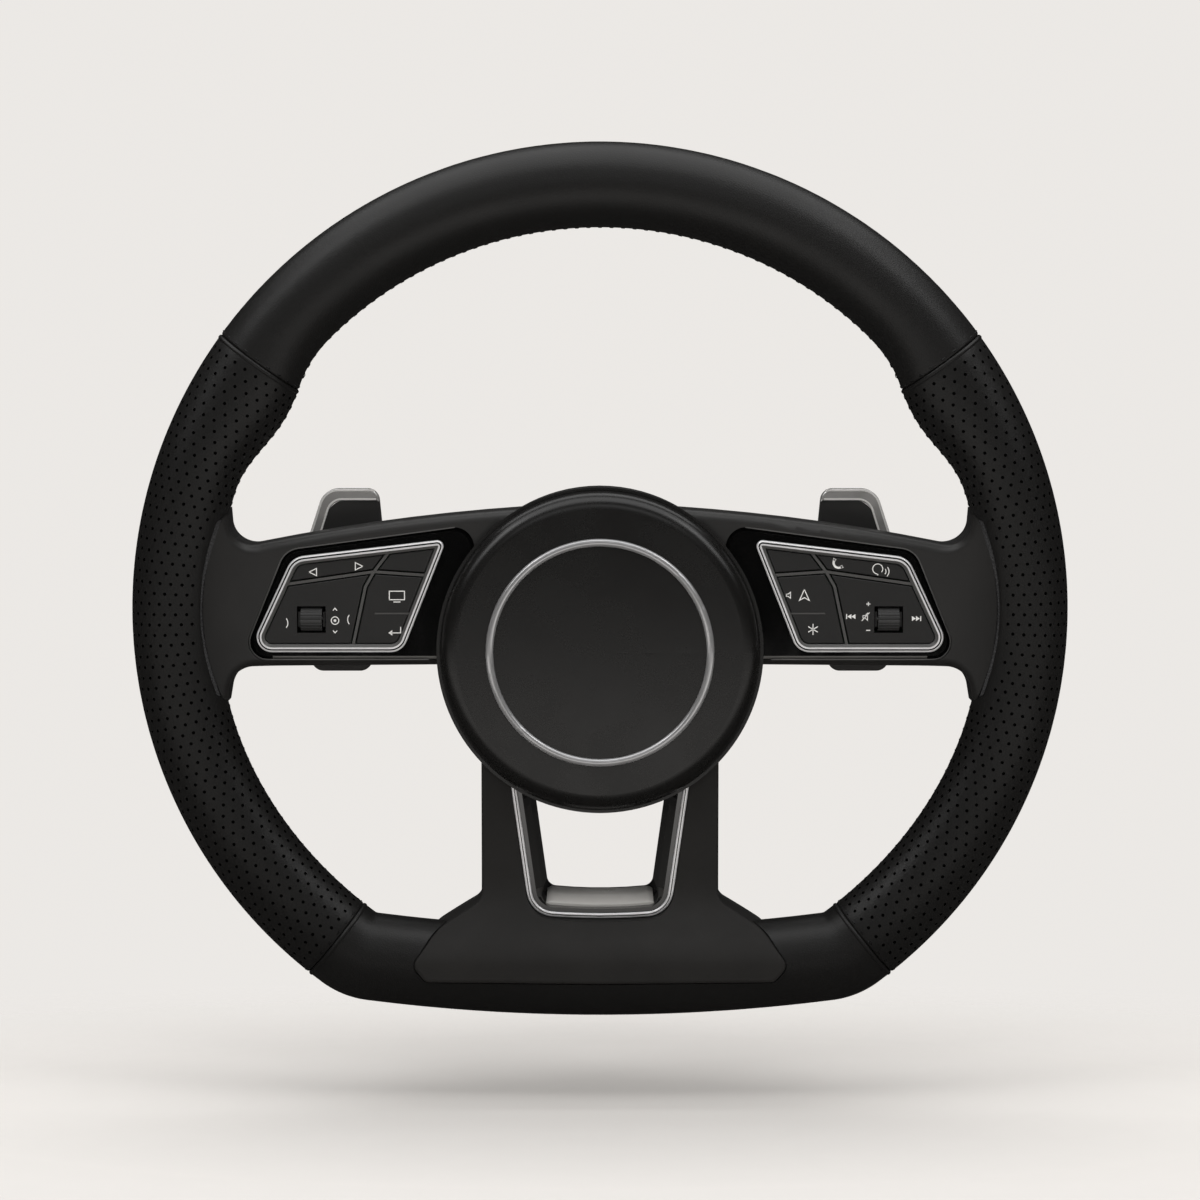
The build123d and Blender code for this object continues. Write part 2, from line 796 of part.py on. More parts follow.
with BuildPart() as bottom_leather:
    add(leather_panel(rim_bottom(0), rim_bottom(leather_thickness)))
    with BuildSketch(facing(root_plane - parting_gap)):
        add(lower_face.sketch)
        offset(amount=trim_gap, kind=Kind.INTERSECTION)
    extrude(amount=rim_depth, mode=Mode.SUBTRACT)
    with BuildSketch(facing(rear_face)):
        add(lower_face.sketch)
        offset(amount=trim_gap, kind=Kind.INTERSECTION)
        with Locations((0, lower_rear_end - trim_gap)):
            Rectangle(200, 200, align=(Align.CENTER, Align.MIN), mode=Mode.INTERSECT)
    extrude(amount=root_plane - rear_face, mode=Mode.SUBTRACT)
finish(bottom_leather, "bottom_leather")

# Foam round the ring, recessed for the trims
foam_inset = leather_thickness + glue_gap
with BuildPart() as rim_foam:
    add(rim_top(foam_inset))
    add(rim_grip(foam_inset))
    mirror(rim_grip(foam_inset), about=Plane.YZ)
    add(rim_bottom(foam_inset))
    add(armature.part, mode=Mode.SUBTRACT)
    add(rear_cover.part, mode=Mode.SUBTRACT)
    add(lower_spoke_trim.part, mode=Mode.SUBTRACT)
    add(right_spoke_trim.part, mode=Mode.SUBTRACT)
    mirror(right_spoke_trim.part, about=Plane.YZ, mode=Mode.SUBTRACT)
finish(rim_foam, "rim_foam")

# Gloss surround of the right pod
with BuildPart() as right_gloss_panel:
    with BuildSketch(facing(gloss_back)):
        add(gloss_outline(0))
    extrude(amount=gloss_front - gloss_back)
    chamfer(right_gloss_panel.faces().sort_by(Axis.Y)[0].edges(), length=gloss_chamfer)
    with BuildSketch(facing(gloss_back)):
        add(pod_outline(trim_gap))
    extrude(amount=gloss_front - gloss_back, mode=Mode.SUBTRACT)
    add(drum_bore(drum_radius + drum_gap, gloss_back - 1, gloss_front + 1), mode=Mode.SUBTRACT)
finish_pair(right_gloss_panel, "gloss_panel")

# Bright U strip round the lower-spoke window
with BuildPart() as lower_chrome_trim:
    with BuildSketch(facing(bead_back)):
        add(window_outline(window_front, window_corner_front, bead_width))
        add(window_outline(window_front, window_corner_front, 0), mode=Mode.SUBTRACT)
    extrude(amount=bead_front - bead_back)
    fillet(lower_chrome_trim.faces().sort_by(Axis.Y)[0].edges(), radius=bead_round)
    add(drum_bore(lip_radius + drum_gap, bead_back - 1, bead_front + 1), mode=Mode.SUBTRACT)
finish(lower_chrome_trim, "lower_chrome_trim")

# Tapered gloss lining of the window, steeper towards the back, with a flange behind the strip
with BuildPart() as lower_gloss_liner:
    with BuildSketch(facing(rear_face + rear_wall)):
        add(window_outline(window_rear, window_corner_rear, liner_wall))
    with BuildSketch(facing(liner_bend)):
        add(window_outline(window_mid, window_corner_mid, liner_wall))
    with BuildSketch(facing(liner_front)):
        add(window_outline(window_front, window_corner_front, -trim_gap))
    loft(ruled=True)
    with BuildSketch(facing(bead_back - liner_wall)):
        add(window_outline(window_front, window_corner_front, bead_width))
    extrude(amount=liner_wall)
    with BuildSketch(facing(rear_face + rear_wall)):
        add(window_outline(window_rear, window_corner_rear, 0))
    with BuildSketch(facing(liner_bend)):
        add(window_outline(window_mid, window_corner_mid, 0))
    with BuildSketch(facing(liner_front)):
        add(window_outline(window_front, window_corner_front, -trim_gap - liner_wall))
    loft(ruled=True, mode=Mode.SUBTRACT)
    add(drum_bore(drum_radius + drum_gap, rear_face, liner_front + 1), mode=Mode.SUBTRACT)
finish(lower_gloss_liner, "lower_gloss_liner")

# Bright bead frame of the right pod
with BuildPart() as right_pod_frame:
    with BuildSketch(facing(gloss_back)):
        add(pod_outline(0))
        add(pod_outline(-frame_width), mode=Mode.SUBTRACT)
    extrude(amount=frame_front - gloss_back)
    chamfer(right_pod_frame.faces().sort_by(Axis.Y)[0].inner_wires()[0].edges(), length=frame_slope)
    fillet(right_pod_frame.faces().sort_by(Axis.Y)[0].outer_wire().edges(), radius=bead_round)
finish_pair(right_pod_frame, "pod_frame")


def bearing_block(along, line, start, end, width, back, front):
    """Block on a pivot line that runs along x or z, from one place on it to another."""
    centre = ((start + end) / 2, line) if along == "x" else (line, (start + end) / 2)
    size = (end - start, width) if along == "x" else (width, end - start)
    with BuildPart() as block:
        with BuildSketch(facing(back)):
            with Locations(centre):
                Rectangle(*size)
        extrude(amount=front - back)
    return block.part


def pivot_rod(along, line, start, end, radius):
    """Round rod on a pivot line."""
    plane = Plane.YZ if along == "x" else Plane.XY
    centre = (-pivot_depth, line) if along == "x" else (line, -pivot_depth)
    with BuildPart() as rod:
        with BuildSketch(plane.offset(start)):
            with Locations(centre):
                Circle(radius)
        extrude(amount=end - start)
    return rod.part


pivots = {
    "tab": ("z", tab_axis_x, *tab_span),
    "selector": ("z", selector_axis_x, *selector_span),
    "view": ("x", view_axis_z, *view_span),
}
cradle_half = roller_length / 2 + cradle_gap + cradle_arm
floor_front = parting + housing_floor
tower_front = pivot_depth + 2 * pivot_radius


def tower_spans(start, end):
    """Both bearing towers of a rocker, just outside its webs."""
    low = start - tower_gap
    high = end + tower_gap
    return [(low - tower_length, low), (high, high + tower_length)]


# Housing of the right pod: tray with bearing towers, key sleeve and cradle guide
with BuildPart() as right_pod_housing:
    with BuildSketch(facing(parting)):
        add(pod_outline(housing_lip))
    extrude(amount=gloss_back - glue_gap - parting)
    with BuildSketch(facing(floor_front)):
        add(pod_outline(housing_lip - housing_wall))
    extrude(amount=gloss_back - parting, mode=Mode.SUBTRACT)
    for along, line, start, end in pivots.values():
        for first, last in tower_spans(start, end):
            add(bearing_block(along, line, first, last, tower_width, parting, tower_front))
            add(pivot_rod(along, line, first, last, pivot_radius + running_clearance), mode=Mode.SUBTRACT)
    with BuildSketch(facing(parting)):
        with Locations(stem_place):
            Circle(stem_radius + running_clearance + sleeve_wall)
        with Locations((roller_x, roller_z)):
            guide = 2 * (running_clearance + sleeve_wall)
            Rectangle(2 * cradle_half + guide, cradle_height + guide)
    extrude(amount=guide_front - parting)
    with BuildSketch(facing(parting)):
        with Locations(stem_place):
            Circle(stem_radius + running_clearance)
        with Locations((roller_x, roller_z)):
            Rectangle(2 * (cradle_half + running_clearance), cradle_height + 2 * running_clearance)
    extrude(amount=guide_front - parting, mode=Mode.SUBTRACT)
    with BuildSketch(facing(floor_front)):
        with Locations((roller_x, roller_z)):
            Rectangle(roller_length + 2 * cradle_gap, 2 * roller_radius + 1)
    extrude(amount=guide_front - floor_front, mode=Mode.SUBTRACT)
finish_pair(right_pod_housing, "pod_housing")

# Circuit board of the right pod with its push switches
with BuildPart() as right_pod_board:
    with BuildSketch(facing(floor_front)):
        add(pod_outline(housing_lip - housing_wall - board_gap))
    extrude(amount=board_thickness)
    for along, line, start, end in pivots.values():
        for first, last in tower_spans(start, end):
            low = first - board_gap
            high = last + board_gap
            width = tower_width + 2 * board_gap
            add(bearing_block(along, line, low, high, width, parting, pivot_depth), mode=Mode.SUBTRACT)
    with BuildSketch(facing(floor_front)):
        with Locations(stem_place):
            Circle(stem_radius + sleeve_wall + board_gap)
        with Locations((roller_x, roller_z)):
            guide = 2 * (sleeve_wall + board_gap)
            Rectangle(2 * cradle_half + guide, cradle_height + guide)
    extrude(amount=board_thickness, mode=Mode.SUBTRACT)
    with BuildSketch(facing(floor_front)):
        with Locations(*switch_places):
            Rectangle(switch_size, switch_size)
    extrude(amount=switch_front - floor_front)
finish_pair(right_pod_board, "pod_board")


def beyond(start, end, reach=12.0):
    """Point on the line from start through end, carried on past the end."""
    dx, dz = end[0] - start[0], end[1] - start[1]
    length = sqrt(dx**2 + dz**2)
    return (end[0] + dx / length * reach, end[1] + dz / length * reach)


split_left = beyond(key_joint, key_left_split)
split_top = beyond(key_joint, key_top_split)
split_right = beyond(key_joint, key_right_split)
split_bottom = beyond(key_bend, key_bottom_split)
far_top_in = (40, 60)
far_top_out = (170, 60)
far_bottom_in = (40, -50)
far_bottom_out = (170, -50)
key_cells = {
    "tab": [key_joint, split_top, far_top_out, split_left],
    "blank": [key_joint, split_top, far_top_in, split_right],
    "view": [key_joint, split_right, far_bottom_in, split_bottom, key_bend],
    "selector": [key_joint, key_bend, split_bottom, far_bottom_out, split_left],
}


def key_cell(name, inset):
    """Cell of one key in the field inside the frame, drawn in all round."""
    with BuildSketch() as cell:
        with BuildLine():
            Polyline(*key_cells[name], close=True)
        make_face()
        offset(amount=-inset, kind=Kind.INTERSECTION)
    return cell.sketch


# Dividers between the keys of the right pod, held by the frame
with BuildPart() as right_key_divider:
    with BuildSketch(facing(key_back)):
        add(pod_outline(-frame_width - glue_gap))
        for name in key_cells:
            add(key_cell(name, divider_width / 2), mode=Mode.SUBTRACT)
    extrude(amount=key_thickness - divider_sink)
finish_pair(right_key_divider, "key_divider")


def key_tile(name):
    """Flat key filling its own cell of the field inside the frame."""
    with BuildPart() as tile:
        with BuildSketch(facing(key_back)):
            add(pod_outline(-frame_width - frame_gap))
            add(key_cell(name, key_gap / 2), mode=Mode.INTERSECT)
        extrude(amount=key_thickness)
        fillet(tile.faces().sort_by(Axis.Y)[0].edges(), radius=key_round)
    return tile.part


def rocker(name):
    """Key tile on two webs with trunnions that turn in the housing's towers."""
    along, line, start, end = pivots[name]
    with BuildPart() as key:
        add(key_tile(name))
        for first, last in ((start, start + web_length), (end - web_length, end)):
            add(bearing_block(along, line, first, last, web_width, pivot_depth, key_back))
        add(pivot_rod(along, line, start - tower_length, start + web_length, pivot_radius))
        add(pivot_rod(along, line, end - web_length, end + tower_length, pivot_radius))
    return key.part


# Keys of the right pod
with BuildPart() as right_tab_key:
    add(rocker("tab"))
finish_pair(right_tab_key, "tab_key")

with BuildPart() as right_view_key:
    add(rocker("view"))
    with BuildSketch(facing(key_front)):
        with Locations(((key_bend[0] + key_right_split[0]) / 2 + 2, view_axis_z)):
            SlotOverall(groove_length, groove_width)
    extrude(amount=-groove_depth, mode=Mode.SUBTRACT)
finish_pair(right_view_key, "view_key")

with BuildPart() as right_selector_key:
    add(rocker("selector"))
    with BuildSketch(facing(key_back)):
        with Locations((roller_x, roller_z)):
            Rectangle(2 * (cradle_half + window_gap), roller_window_height)
    extrude(amount=key_thickness, mode=Mode.SUBTRACT)
finish_pair(right_selector_key, "selector_key")

with BuildPart() as right_blank_key:
    add(key_tile("blank"))
    with BuildSketch(facing(stem_back)):
        with Locations(stem_place):
            Circle(stem_radius)
    extrude(amount=key_back - stem_back)
finish_pair(right_blank_key, "blank_key")

# Thumbwheel of the right pod: grooved roller on an axle in a cradle that can be pushed
with BuildPart() as right_roller:
    with BuildSketch(Plane.YZ.offset(roller_x - roller_length / 2)):
        with Locations((-roller_depth, roller_z)):
            Circle(roller_radius)
            Circle(axle_radius + running_clearance, mode=Mode.SUBTRACT)
            with PolarLocations(roller_radius + groove_width / 4, roller_grooves):
                Circle(groove_width / 2, mode=Mode.SUBTRACT)
    extrude(amount=roller_length)
finish_pair(right_roller, "roller")

with BuildPart() as right_roller_axle:
    with BuildSketch(Plane.YZ.offset(roller_x - cradle_half)):
        with Locations((-roller_depth, roller_z)):
            Circle(axle_radius)
    extrude(amount=2 * cradle_half)
finish_pair(right_roller_axle, "roller_axle")

with BuildPart() as right_roller_cradle:
    with BuildSketch(facing(cradle_back)):
        with Locations((roller_x, roller_z)):
            Rectangle(2 * cradle_half, cradle_height)
    extrude(amount=roller_depth + 2 * axle_radius - cradle_back)
    with BuildSketch(facing(cradle_back + cradle_base)):
        with Locations((roller_x, roller_z)):
            Rectangle(roller_length + 2 * cradle_gap, cradle_height)
    extrude(amount=roller_depth, mode=Mode.SUBTRACT)
    with BuildSketch(Plane.YZ.offset(roller_x - cradle_half)):
        with Locations((-roller_depth, roller_z)):
            Circle(axle_radius)
    extrude(amount=2 * cradle_half, mode=Mode.SUBTRACT)
finish_pair(right_roller_cradle, "roller_cradle")


def blade_outline():
    """Outline of the paddle blade with rounded corners."""
    with BuildSketch() as blade:
        with BuildLine():
            Polyline(*blade_corners, close=True)
        make_face()
        for corner, radius in zip(blade_corners, blade_rounds):
            fillet(blade.vertices().sort_by_distance(corner)[0], radius=radius)
    return blade.sketch


def cap_outline(grow):
    """Band along the outer and upper edge of the blade."""
    with BuildSketch() as band:
        add(blade_outline())
        with Locations((-cap_side - grow, -cap_top - grow)):
            add(blade_outline(), mode=Mode.SUBTRACT)
        with Locations((0, cap_low - grow)):
            Rectangle(400, 400, align=(Align.CENTER, Align.MIN), mode=Mode.INTERSECT)
    return band.sketch


# Right shift paddle: blade behind the spoke, on an arm that turns on a pin in the hub
with BuildPart() as right_paddle:
    with BuildSketch(facing(blade_back)):
        add(blade_outline())
    extrude(amount=blade_front - blade_back)
    fillet(right_paddle.faces().sort_by(Axis.Y)[0].edges(), radius=cap_proud)
    with BuildSketch(facing(paddle_arm_back)):
        with Locations((paddle_pivot_x, paddle_bottom)):
            Rectangle(paddle_arm_end - paddle_pivot_x, paddle_top - paddle_bottom, align=Align.MIN)
    extrude(amount=blade_back - paddle_arm_back)
    with BuildSketch(Plane.XY.offset(paddle_bottom)):
        with Locations((paddle_pivot_x, -paddle_pivot_depth)):
            Circle(paddle_boss_radius)
    extrude(amount=paddle_top - paddle_bottom)
    with BuildSketch(Plane.XY.offset(paddle_bottom)):
        with Locations((paddle_pivot_x, -paddle_pivot_depth)):
            Circle(paddle_pin_radius + running_clearance)
    extrude(amount=paddle_top - paddle_bottom, mode=Mode.SUBTRACT)
    with BuildSketch(facing(blade_back)):
        add(cap_outline(glue_gap))
    extrude(amount=blade_front, mode=Mode.SUBTRACT)
finish_pair(right_paddle, "paddle")

with BuildPart() as right_paddle_cap:
    with BuildSketch(facing(blade_back)):
        add(cap_outline(0))
    extrude(amount=blade_front + cap_proud - blade_back)
    fillet(right_paddle_cap.faces().sort_by(Axis.Y)[0].edges(), radius=cap_proud)
finish_pair(right_paddle_cap, "paddle_cap")

ear_low = paddle_bottom - ear_gap - bracket_ear
ear_high = paddle_top + ear_gap + bracket_ear
with BuildPart() as right_paddle_pin:
    with BuildSketch(Plane.XY.offset(ear_low)):
        with Locations((paddle_pivot_x, -paddle_pivot_depth)):
            Circle(paddle_pin_radius)
    extrude(amount=ear_high - ear_low)
finish_pair(right_paddle_pin, "paddle_pin")

with BuildPart() as right_paddle_bracket:
    with BuildSketch(facing(paddle_pivot_depth - bracket_half)):
        with Locations((paddle_pivot_x, (ear_low + ear_high) / 2)):
            Rectangle(2 * bracket_half, ear_high - ear_low)
    extrude(amount=plate_back - paddle_pivot_depth + bracket_half)
    with BuildSketch(facing(paddle_pivot_depth - bracket_half)):
        with Locations((paddle_pivot_x, (ear_low + ear_high) / 2)):
            Rectangle(2 * bracket_half, paddle_top - paddle_bottom + 2 * ear_gap)
    extrude(amount=bracket_half + paddle_boss_radius + ear_gap, mode=Mode.SUBTRACT)
    with BuildSketch(Plane.XY.offset(ear_low)):
        with Locations((paddle_pivot_x, -paddle_pivot_depth)):
            Circle(paddle_pin_radius)
    extrude(amount=ear_high - ear_low, mode=Mode.SUBTRACT)
finish_pair(right_paddle_bracket, "paddle_bracket")

# Airbag module, turned about its own axis
airbag_plane = Plane.XY.offset(airbag_z)
ring_inner = cover_ring_radius - cover_ring_width
groove_floor = airbag_front - cover_ring_sink
rim_front = airbag_front - airbag_crown
inner_front = rim_front - airbag_wall
inner_radius = airbag_radius - airbag_wall
with BuildPart() as airbag_cover:
    with BuildSketch(airbag_plane) as profile:
        with BuildLine():
            ThreePointArc(
                (0, -airbag_front),
                (airbag_radius / 2, airbag_crown / 4 - airbag_front),
                (airbag_radius, -rim_front),
            )
            Polyline(
                (airbag_radius, -rim_front),
                (airbag_radius, -lip_back - lip_thickness),
                (lip_radius, -lip_back - lip_thickness),
                (lip_radius, -lip_back),
                (inner_radius, -lip_back),
                (inner_radius, -inner_front),
                (0, -inner_front),
                (0, -airbag_front),
            )
        make_face()
        outer_corner = profile.vertices().sort_by_distance((airbag_radius, -rim_front))[0]
        fillet(outer_corner, radius=airbag_edge_round)
        inner_corner = profile.vertices().sort_by_distance((inner_radius, -inner_front))[0]
        fillet(inner_corner, radius=airbag_wall)
    revolve(axis=drum_axis)
    with BuildSketch(facing(groove_floor)):
        with Locations((0, airbag_z)):
            Circle(cover_ring_radius + glue_gap)
            Circle(ring_inner - glue_gap, mode=Mode.SUBTRACT)
    extrude(amount=cover_ring_sink + 1, mode=Mode.SUBTRACT)
finish(airbag_cover, "airbag_cover")

with BuildPart() as cover_ring:
    with BuildSketch(facing(groove_floor)):
        with Locations((0, airbag_z)):
            Circle(cover_ring_radius)
            Circle(ring_inner, mode=Mode.SUBTRACT)
    extrude(amount=cover_ring_sink + cover_ring_proud)
    fillet(cover_ring.faces().sort_by(Axis.Y)[0].edges(), radius=cover_ring_width * 0.45)
finish(cover_ring, "cover_ring")

carrier_radius = inner_radius - glue_gap
carrier_front = carrier_back + carrier_floor
flange_front = carrier_front + 1.5
with BuildPart() as airbag_carrier:
    with BuildSketch(facing(carrier_back)):
        with Locations((0, airbag_z)):
            Circle(carrier_radius)
    extrude(amount=lip_back + 3 - carrier_back)
    add(drum_bore(carrier_radius - carrier_wall, carrier_front, airbag_front), mode=Mode.SUBTRACT)
    add(drum_bore(generator_radius, carrier_back - 1, carrier_front), mode=Mode.SUBTRACT)
    with BuildSketch(facing(carrier_back)):
        with Locations(*horn_places):
            Circle(horn_pin_radius)
    extrude(amount=carrier_floor, mode=Mode.SUBTRACT)
finish(airbag_carrier, "airbag_carrier")

with BuildPart() as gas_generator:
    add(drum_bore(generator_radius, generator_back, generator_front))
    add(drum_bore(generator_flange, carrier_front, flange_front))
    fillet(gas_generator.edges().filter_by(GeomType.CIRCLE).sort_by(Axis.Y)[0], radius=3)
finish(gas_generator, "gas_generator")

with BuildPart() as generator_nuts:
    with BuildSketch(facing(flange_front)):
        with Locations((0, airbag_z)):
            with PolarLocations((generator_radius + generator_flange) / 2, 4, start_angle=45):
                RegularPolygon(nut_radius, 6)
    extrude(amount=nut_height)
finish(generator_nuts, "generator_nuts")

with BuildPart() as airbag_cushion:
    add(drum_bore(cushion_radius, carrier_front, cushion_front))
    fillet(airbag_cushion.edges().filter_by(GeomType.CIRCLE).sort_by(Axis.Y)[0], radius=6)
    add(drum_bore(generator_flange + 1, carrier_front, generator_front + 1), mode=Mode.SUBTRACT)
finish(airbag_cushion, "airbag_cushion")

with BuildPart() as horn_pins:
    with BuildSketch(facing(plate_back - stop_gap - horn_head)):
        with Locations(*horn_places):
            Circle(horn_pin_radius)
    extrude(amount=carrier_front - plate_back + stop_gap + horn_head)
    with BuildSketch(facing(plate_back - stop_gap - horn_head)):
        with Locations(*horn_places):
            Circle(horn_head_radius)
    extrude(amount=horn_head)
finish(horn_pins, "horn_pins")

# Ribbed rubber buffers round the horn pins, which push the module back
with BuildPart() as horn_buffers:
    rib = (carrier_back - plate_front) / buffer_ribs
    for x, z in horn_places:
        outline = [(x + buffer_bore, -plate_front)]
        for step in range(buffer_ribs):
            waist_depth = plate_front + rib * step
            outline += [(x + buffer_waist, -waist_depth), (x + buffer_belly, -waist_depth - rib / 2)]
        outline += [(x + buffer_waist, -carrier_back), (x + buffer_bore, -carrier_back)]
        with BuildSketch(Plane.XY.offset(z)):
            with BuildLine():
                Polyline(*outline, close=True)
            make_face()
        revolve(axis=Axis((x, 0, z), (0, 1, 0)))
finish(horn_buffers, "horn_buffers")
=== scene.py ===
from math import acos, atan2, cos, hypot, pi, radians, sin, sqrt, tan, tau

import bmesh
import bpy
from bpy.props import FloatProperty, FloatVectorProperty, IntProperty, PointerProperty
from bpy.types import Operator, Panel, PropertyGroup
from mathutils import Matrix, Vector


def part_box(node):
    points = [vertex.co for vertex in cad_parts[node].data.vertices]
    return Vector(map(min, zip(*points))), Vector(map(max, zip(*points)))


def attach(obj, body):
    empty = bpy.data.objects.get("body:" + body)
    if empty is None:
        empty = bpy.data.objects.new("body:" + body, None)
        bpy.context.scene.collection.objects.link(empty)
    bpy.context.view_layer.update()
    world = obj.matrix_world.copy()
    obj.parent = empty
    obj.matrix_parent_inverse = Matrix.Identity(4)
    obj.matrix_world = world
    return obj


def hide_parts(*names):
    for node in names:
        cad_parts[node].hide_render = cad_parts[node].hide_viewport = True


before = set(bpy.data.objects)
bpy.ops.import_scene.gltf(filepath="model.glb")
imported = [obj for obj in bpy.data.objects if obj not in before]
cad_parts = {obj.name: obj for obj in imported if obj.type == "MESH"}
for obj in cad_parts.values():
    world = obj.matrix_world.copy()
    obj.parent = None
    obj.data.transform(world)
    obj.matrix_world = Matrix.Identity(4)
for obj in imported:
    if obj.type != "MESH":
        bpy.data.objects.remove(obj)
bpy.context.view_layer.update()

bl_info = {
    "name": "Sports steering wheel",
    "version": (1, 0, 0),
    "blender": (4, 5, 0),
    "location": "3D View > Sidebar > Wheel",
    "description": "Dresses the packed steering wheel with leather, stitching, trims, prints and a studio",
    "category": "Object",
}

MM = 0.001
SIDES = {"left": -1, "right": 1}


def length(name, description, millimetres):
    """Property of a size, stored in metres."""
    default = millimetres * MM
    return FloatProperty(name=name, description=description, default=default, unit="LENGTH", precision=5)


def bearing(name, description, degrees):
    """Property of an angle, stored in radians."""
    return FloatProperty(name=name, description=description, default=radians(degrees), subtype="ANGLE")


def tint(name, description, colour):
    """Property of a surface colour."""
    return FloatVectorProperty(
        name=name, description=description, default=colour, subtype="COLOR", min=0, max=1
    )


class RimSizes(PropertyGroup):
    """Sizes of the rim, its sewn grips and their seams."""

    wheel_radius: length("Wheel radius", "Outer radius of the rim", 185.0)
    rim_plane: length("Rim plane", "Depth of the middle of the rim in front of the column's end", 52.0)
    rim_depth: length("Rim depth", "Thickness of the rim from front to back", 30.0)
    grip_width: length("Grip width", "Width of the rim across its face", 33.4)
    lower_width: length("Lower width", "Width of the rim at the lower seams", 35.2)
    thumb_lobe: length("Thumb lobe", "Height of the thumb rest inside the grip", 5.8)
    thumb_angle: bearing("Thumb angle", "Place of the thumb rest from the top", 58.5)
    thumb_spread: bearing("Thumb spread", "Half the arc of the thumb rest", 13.0)
    upper_seam: bearing("Upper seam", "Seam of top panel and grip, from the top", 53.5)
    lower_seam: bearing("Lower seam", "Seam of grip and lower panel, from the top", 141.0)
    seam_round: length("Seam round", "Rounding of a leather edge that is turned in", 0.8)
    leather: length("Leather", "Thickness of the leather", 1.3)
    welt_radius: length("Welt radius", "Rounding of the fold beside a seam", 1.1)
    welt_proud: length("Welt height", "Height of the fold beside a seam above the leather", 0.35)
    root_gap: length("Root gap", "Gap between the grip and the spoke trim let into it", 0.4)
    root_top: length("Root top", "Height of the upper end of the grip's opening for the spoke", 39.5)
    root_bottom: length("Root bottom", "Height of the lower end of the grip's opening for the spoke", -35.2)
    hole_radius: length("Hole radius", "Radius of the grip's perforations", 0.68)
    hole_depth: length("Hole depth", "Depth of the grip's perforations", 0.8)
    row_pitch: length("Row pitch", "Distance of the rows of perforations along a grip", 3.95)
    hole_columns: IntProperty(
        name="Hole columns", description="Places round the section, two to a hole", default=48
    )
    thread_radius: length("Thread radius", "Radius of the sewing thread", 0.3)
    lace_radius: length("Lace radius", "Radius of the lacing along the inner edge", 0.24)
    lace_pitch: length("Lace pitch", "Distance of the laces along the inner edge", 4.5)
    stitch_pitch: length("Stitch pitch", "Distance of the stitches along a seam", 4.6)


class WheelColours(PropertyGroup):
    """Colours of the wheel's finishes."""

    leather: tint("Leather", "Smooth and perforated leather", (0.0105, 0.0101, 0.0097))
    # Inside of the perforations: darker than the leather, painted shade in the holes
    hole: tint("Hole", "Inside of the perforations", (0.004, 0.004, 0.004))
    thread: tint("Thread", "Sewing thread", (0.005, 0.005, 0.005))
    trim: tint("Trim", "Satin spoke trims", (0.0185, 0.0178, 0.0170))
    cover: tint("Cover", "Soft airbag cover", (0.0080, 0.0077, 0.0073))
    gloss: tint("Gloss", "Gloss panels and window lining", (0.0022, 0.0022, 0.0022))
    key: tint("Key", "Keys of the switch pods", (0.0145, 0.0142, 0.0138))
    # Light grey of the dividers is a painted highlight of the key edges
    divider: tint("Divider", "Dividers between the keys", (0.075, 0.074, 0.072))
    print_white: tint("Print", "Pictograms on the keys", (0.92, 0.92, 0.90))
    chrome: tint("Chrome", "Bright rings and frames", (0.72, 0.72, 0.73))
    # Aluminium of the caps; at full strength on the caps' edges it is a painted highlight
    cap: tint("Cap", "Aluminium edge of the paddles", (0.92, 0.91, 0.89))
    paddle: tint("Paddle", "Blades of the paddles", (0.03, 0.029, 0.028))
    # Grey lining: painted shade over the pod frames' bright inner slope, and a painted highlight on the
    # gloss panels' edges
    lining: tint("Lining", "Inner slope of the pod frames", (0.1, 0.099, 0.097))
    # Grey of the gloss panels' lower slope is a painted reflection
    lower_edge: tint("Lower edge", "Lower slope of the gloss panels", (0.2, 0.197, 0.19))
    # Light grey of the ledge is a painted reflection
    ledge: tint("Ledge", "Ledge in the lower window", (0.5, 0.49, 0.47))
    roller: tint("Roller", "Thumb rollers", (0.03, 0.03, 0.03))
    tray: tint("Tray", "Housings of the switch pods", (0.012, 0.012, 0.012))
    board: tint("Board", "Circuit boards of the pods", (0.02, 0.11, 0.05))
    cushion: tint("Cushion", "Folded airbag", (0.42, 0.41, 0.38))
    carrier: tint("Carrier", "Casting that carries the airbag", (0.42, 0.42, 0.43))
    rubber: tint("Rubber", "Buffers under the airbag", (0.012, 0.012, 0.013))
    skeleton: tint("Skeleton", "Castings of the skeleton", (0.5, 0.5, 0.51))
    steel: tint("Steel", "Turned steel and fixings", (0.5, 0.5, 0.5))
    foam: tint("Foam", "Foam of the rim", (0.05, 0.05, 0.052))


class StudioSettings(PropertyGroup):
    """Camera, floor and light of the studio."""

    elevation: bearing("Elevation", "Height angle of the camera", 5.0)
    distance: length("Distance", "Camera to the middle of the rim", 1319.0)
    target_rise: length("Target rise", "Height of the looked-at point above the wheel's middle", 5.0)
    lens: FloatProperty(name="Lens", description="Focal length in millimetres", default=100.0)
    floor_height: length("Floor height", "Height of the floor below the column axis", -197.0)
    floor_radius: length("Floor radius", "Radius of the round floor", 1500.0)
    backdrop: tint("Backdrop", "Pale floor and background", (0.836, 0.812, 0.785))


class Value:
    """Output of a shader node; arithmetic on it adds Math nodes to its tree."""

    def __init__(self, finish, socket):
        self.finish = finish
        self.socket = socket

    def math(self, operation, first, second):
        return self.finish.node("ShaderNodeMath", {"operation": operation}, {0: first, 1: second})

    def __add__(self, other):
        return self.math("ADD", self, other)

    def __radd__(self, other):
        return self.math("ADD", other, self)

    def __sub__(self, other):
        return self.math("SUBTRACT", self, other)

    def __rsub__(self, other):
        return self.math("SUBTRACT", other, self)

    def __mul__(self, other):
        return self.math("MULTIPLY", self, other)

    def __rmul__(self, other):
        return self.math("MULTIPLY", other, self)

    def __pow__(self, other):
        return self.math("POWER", self, other)


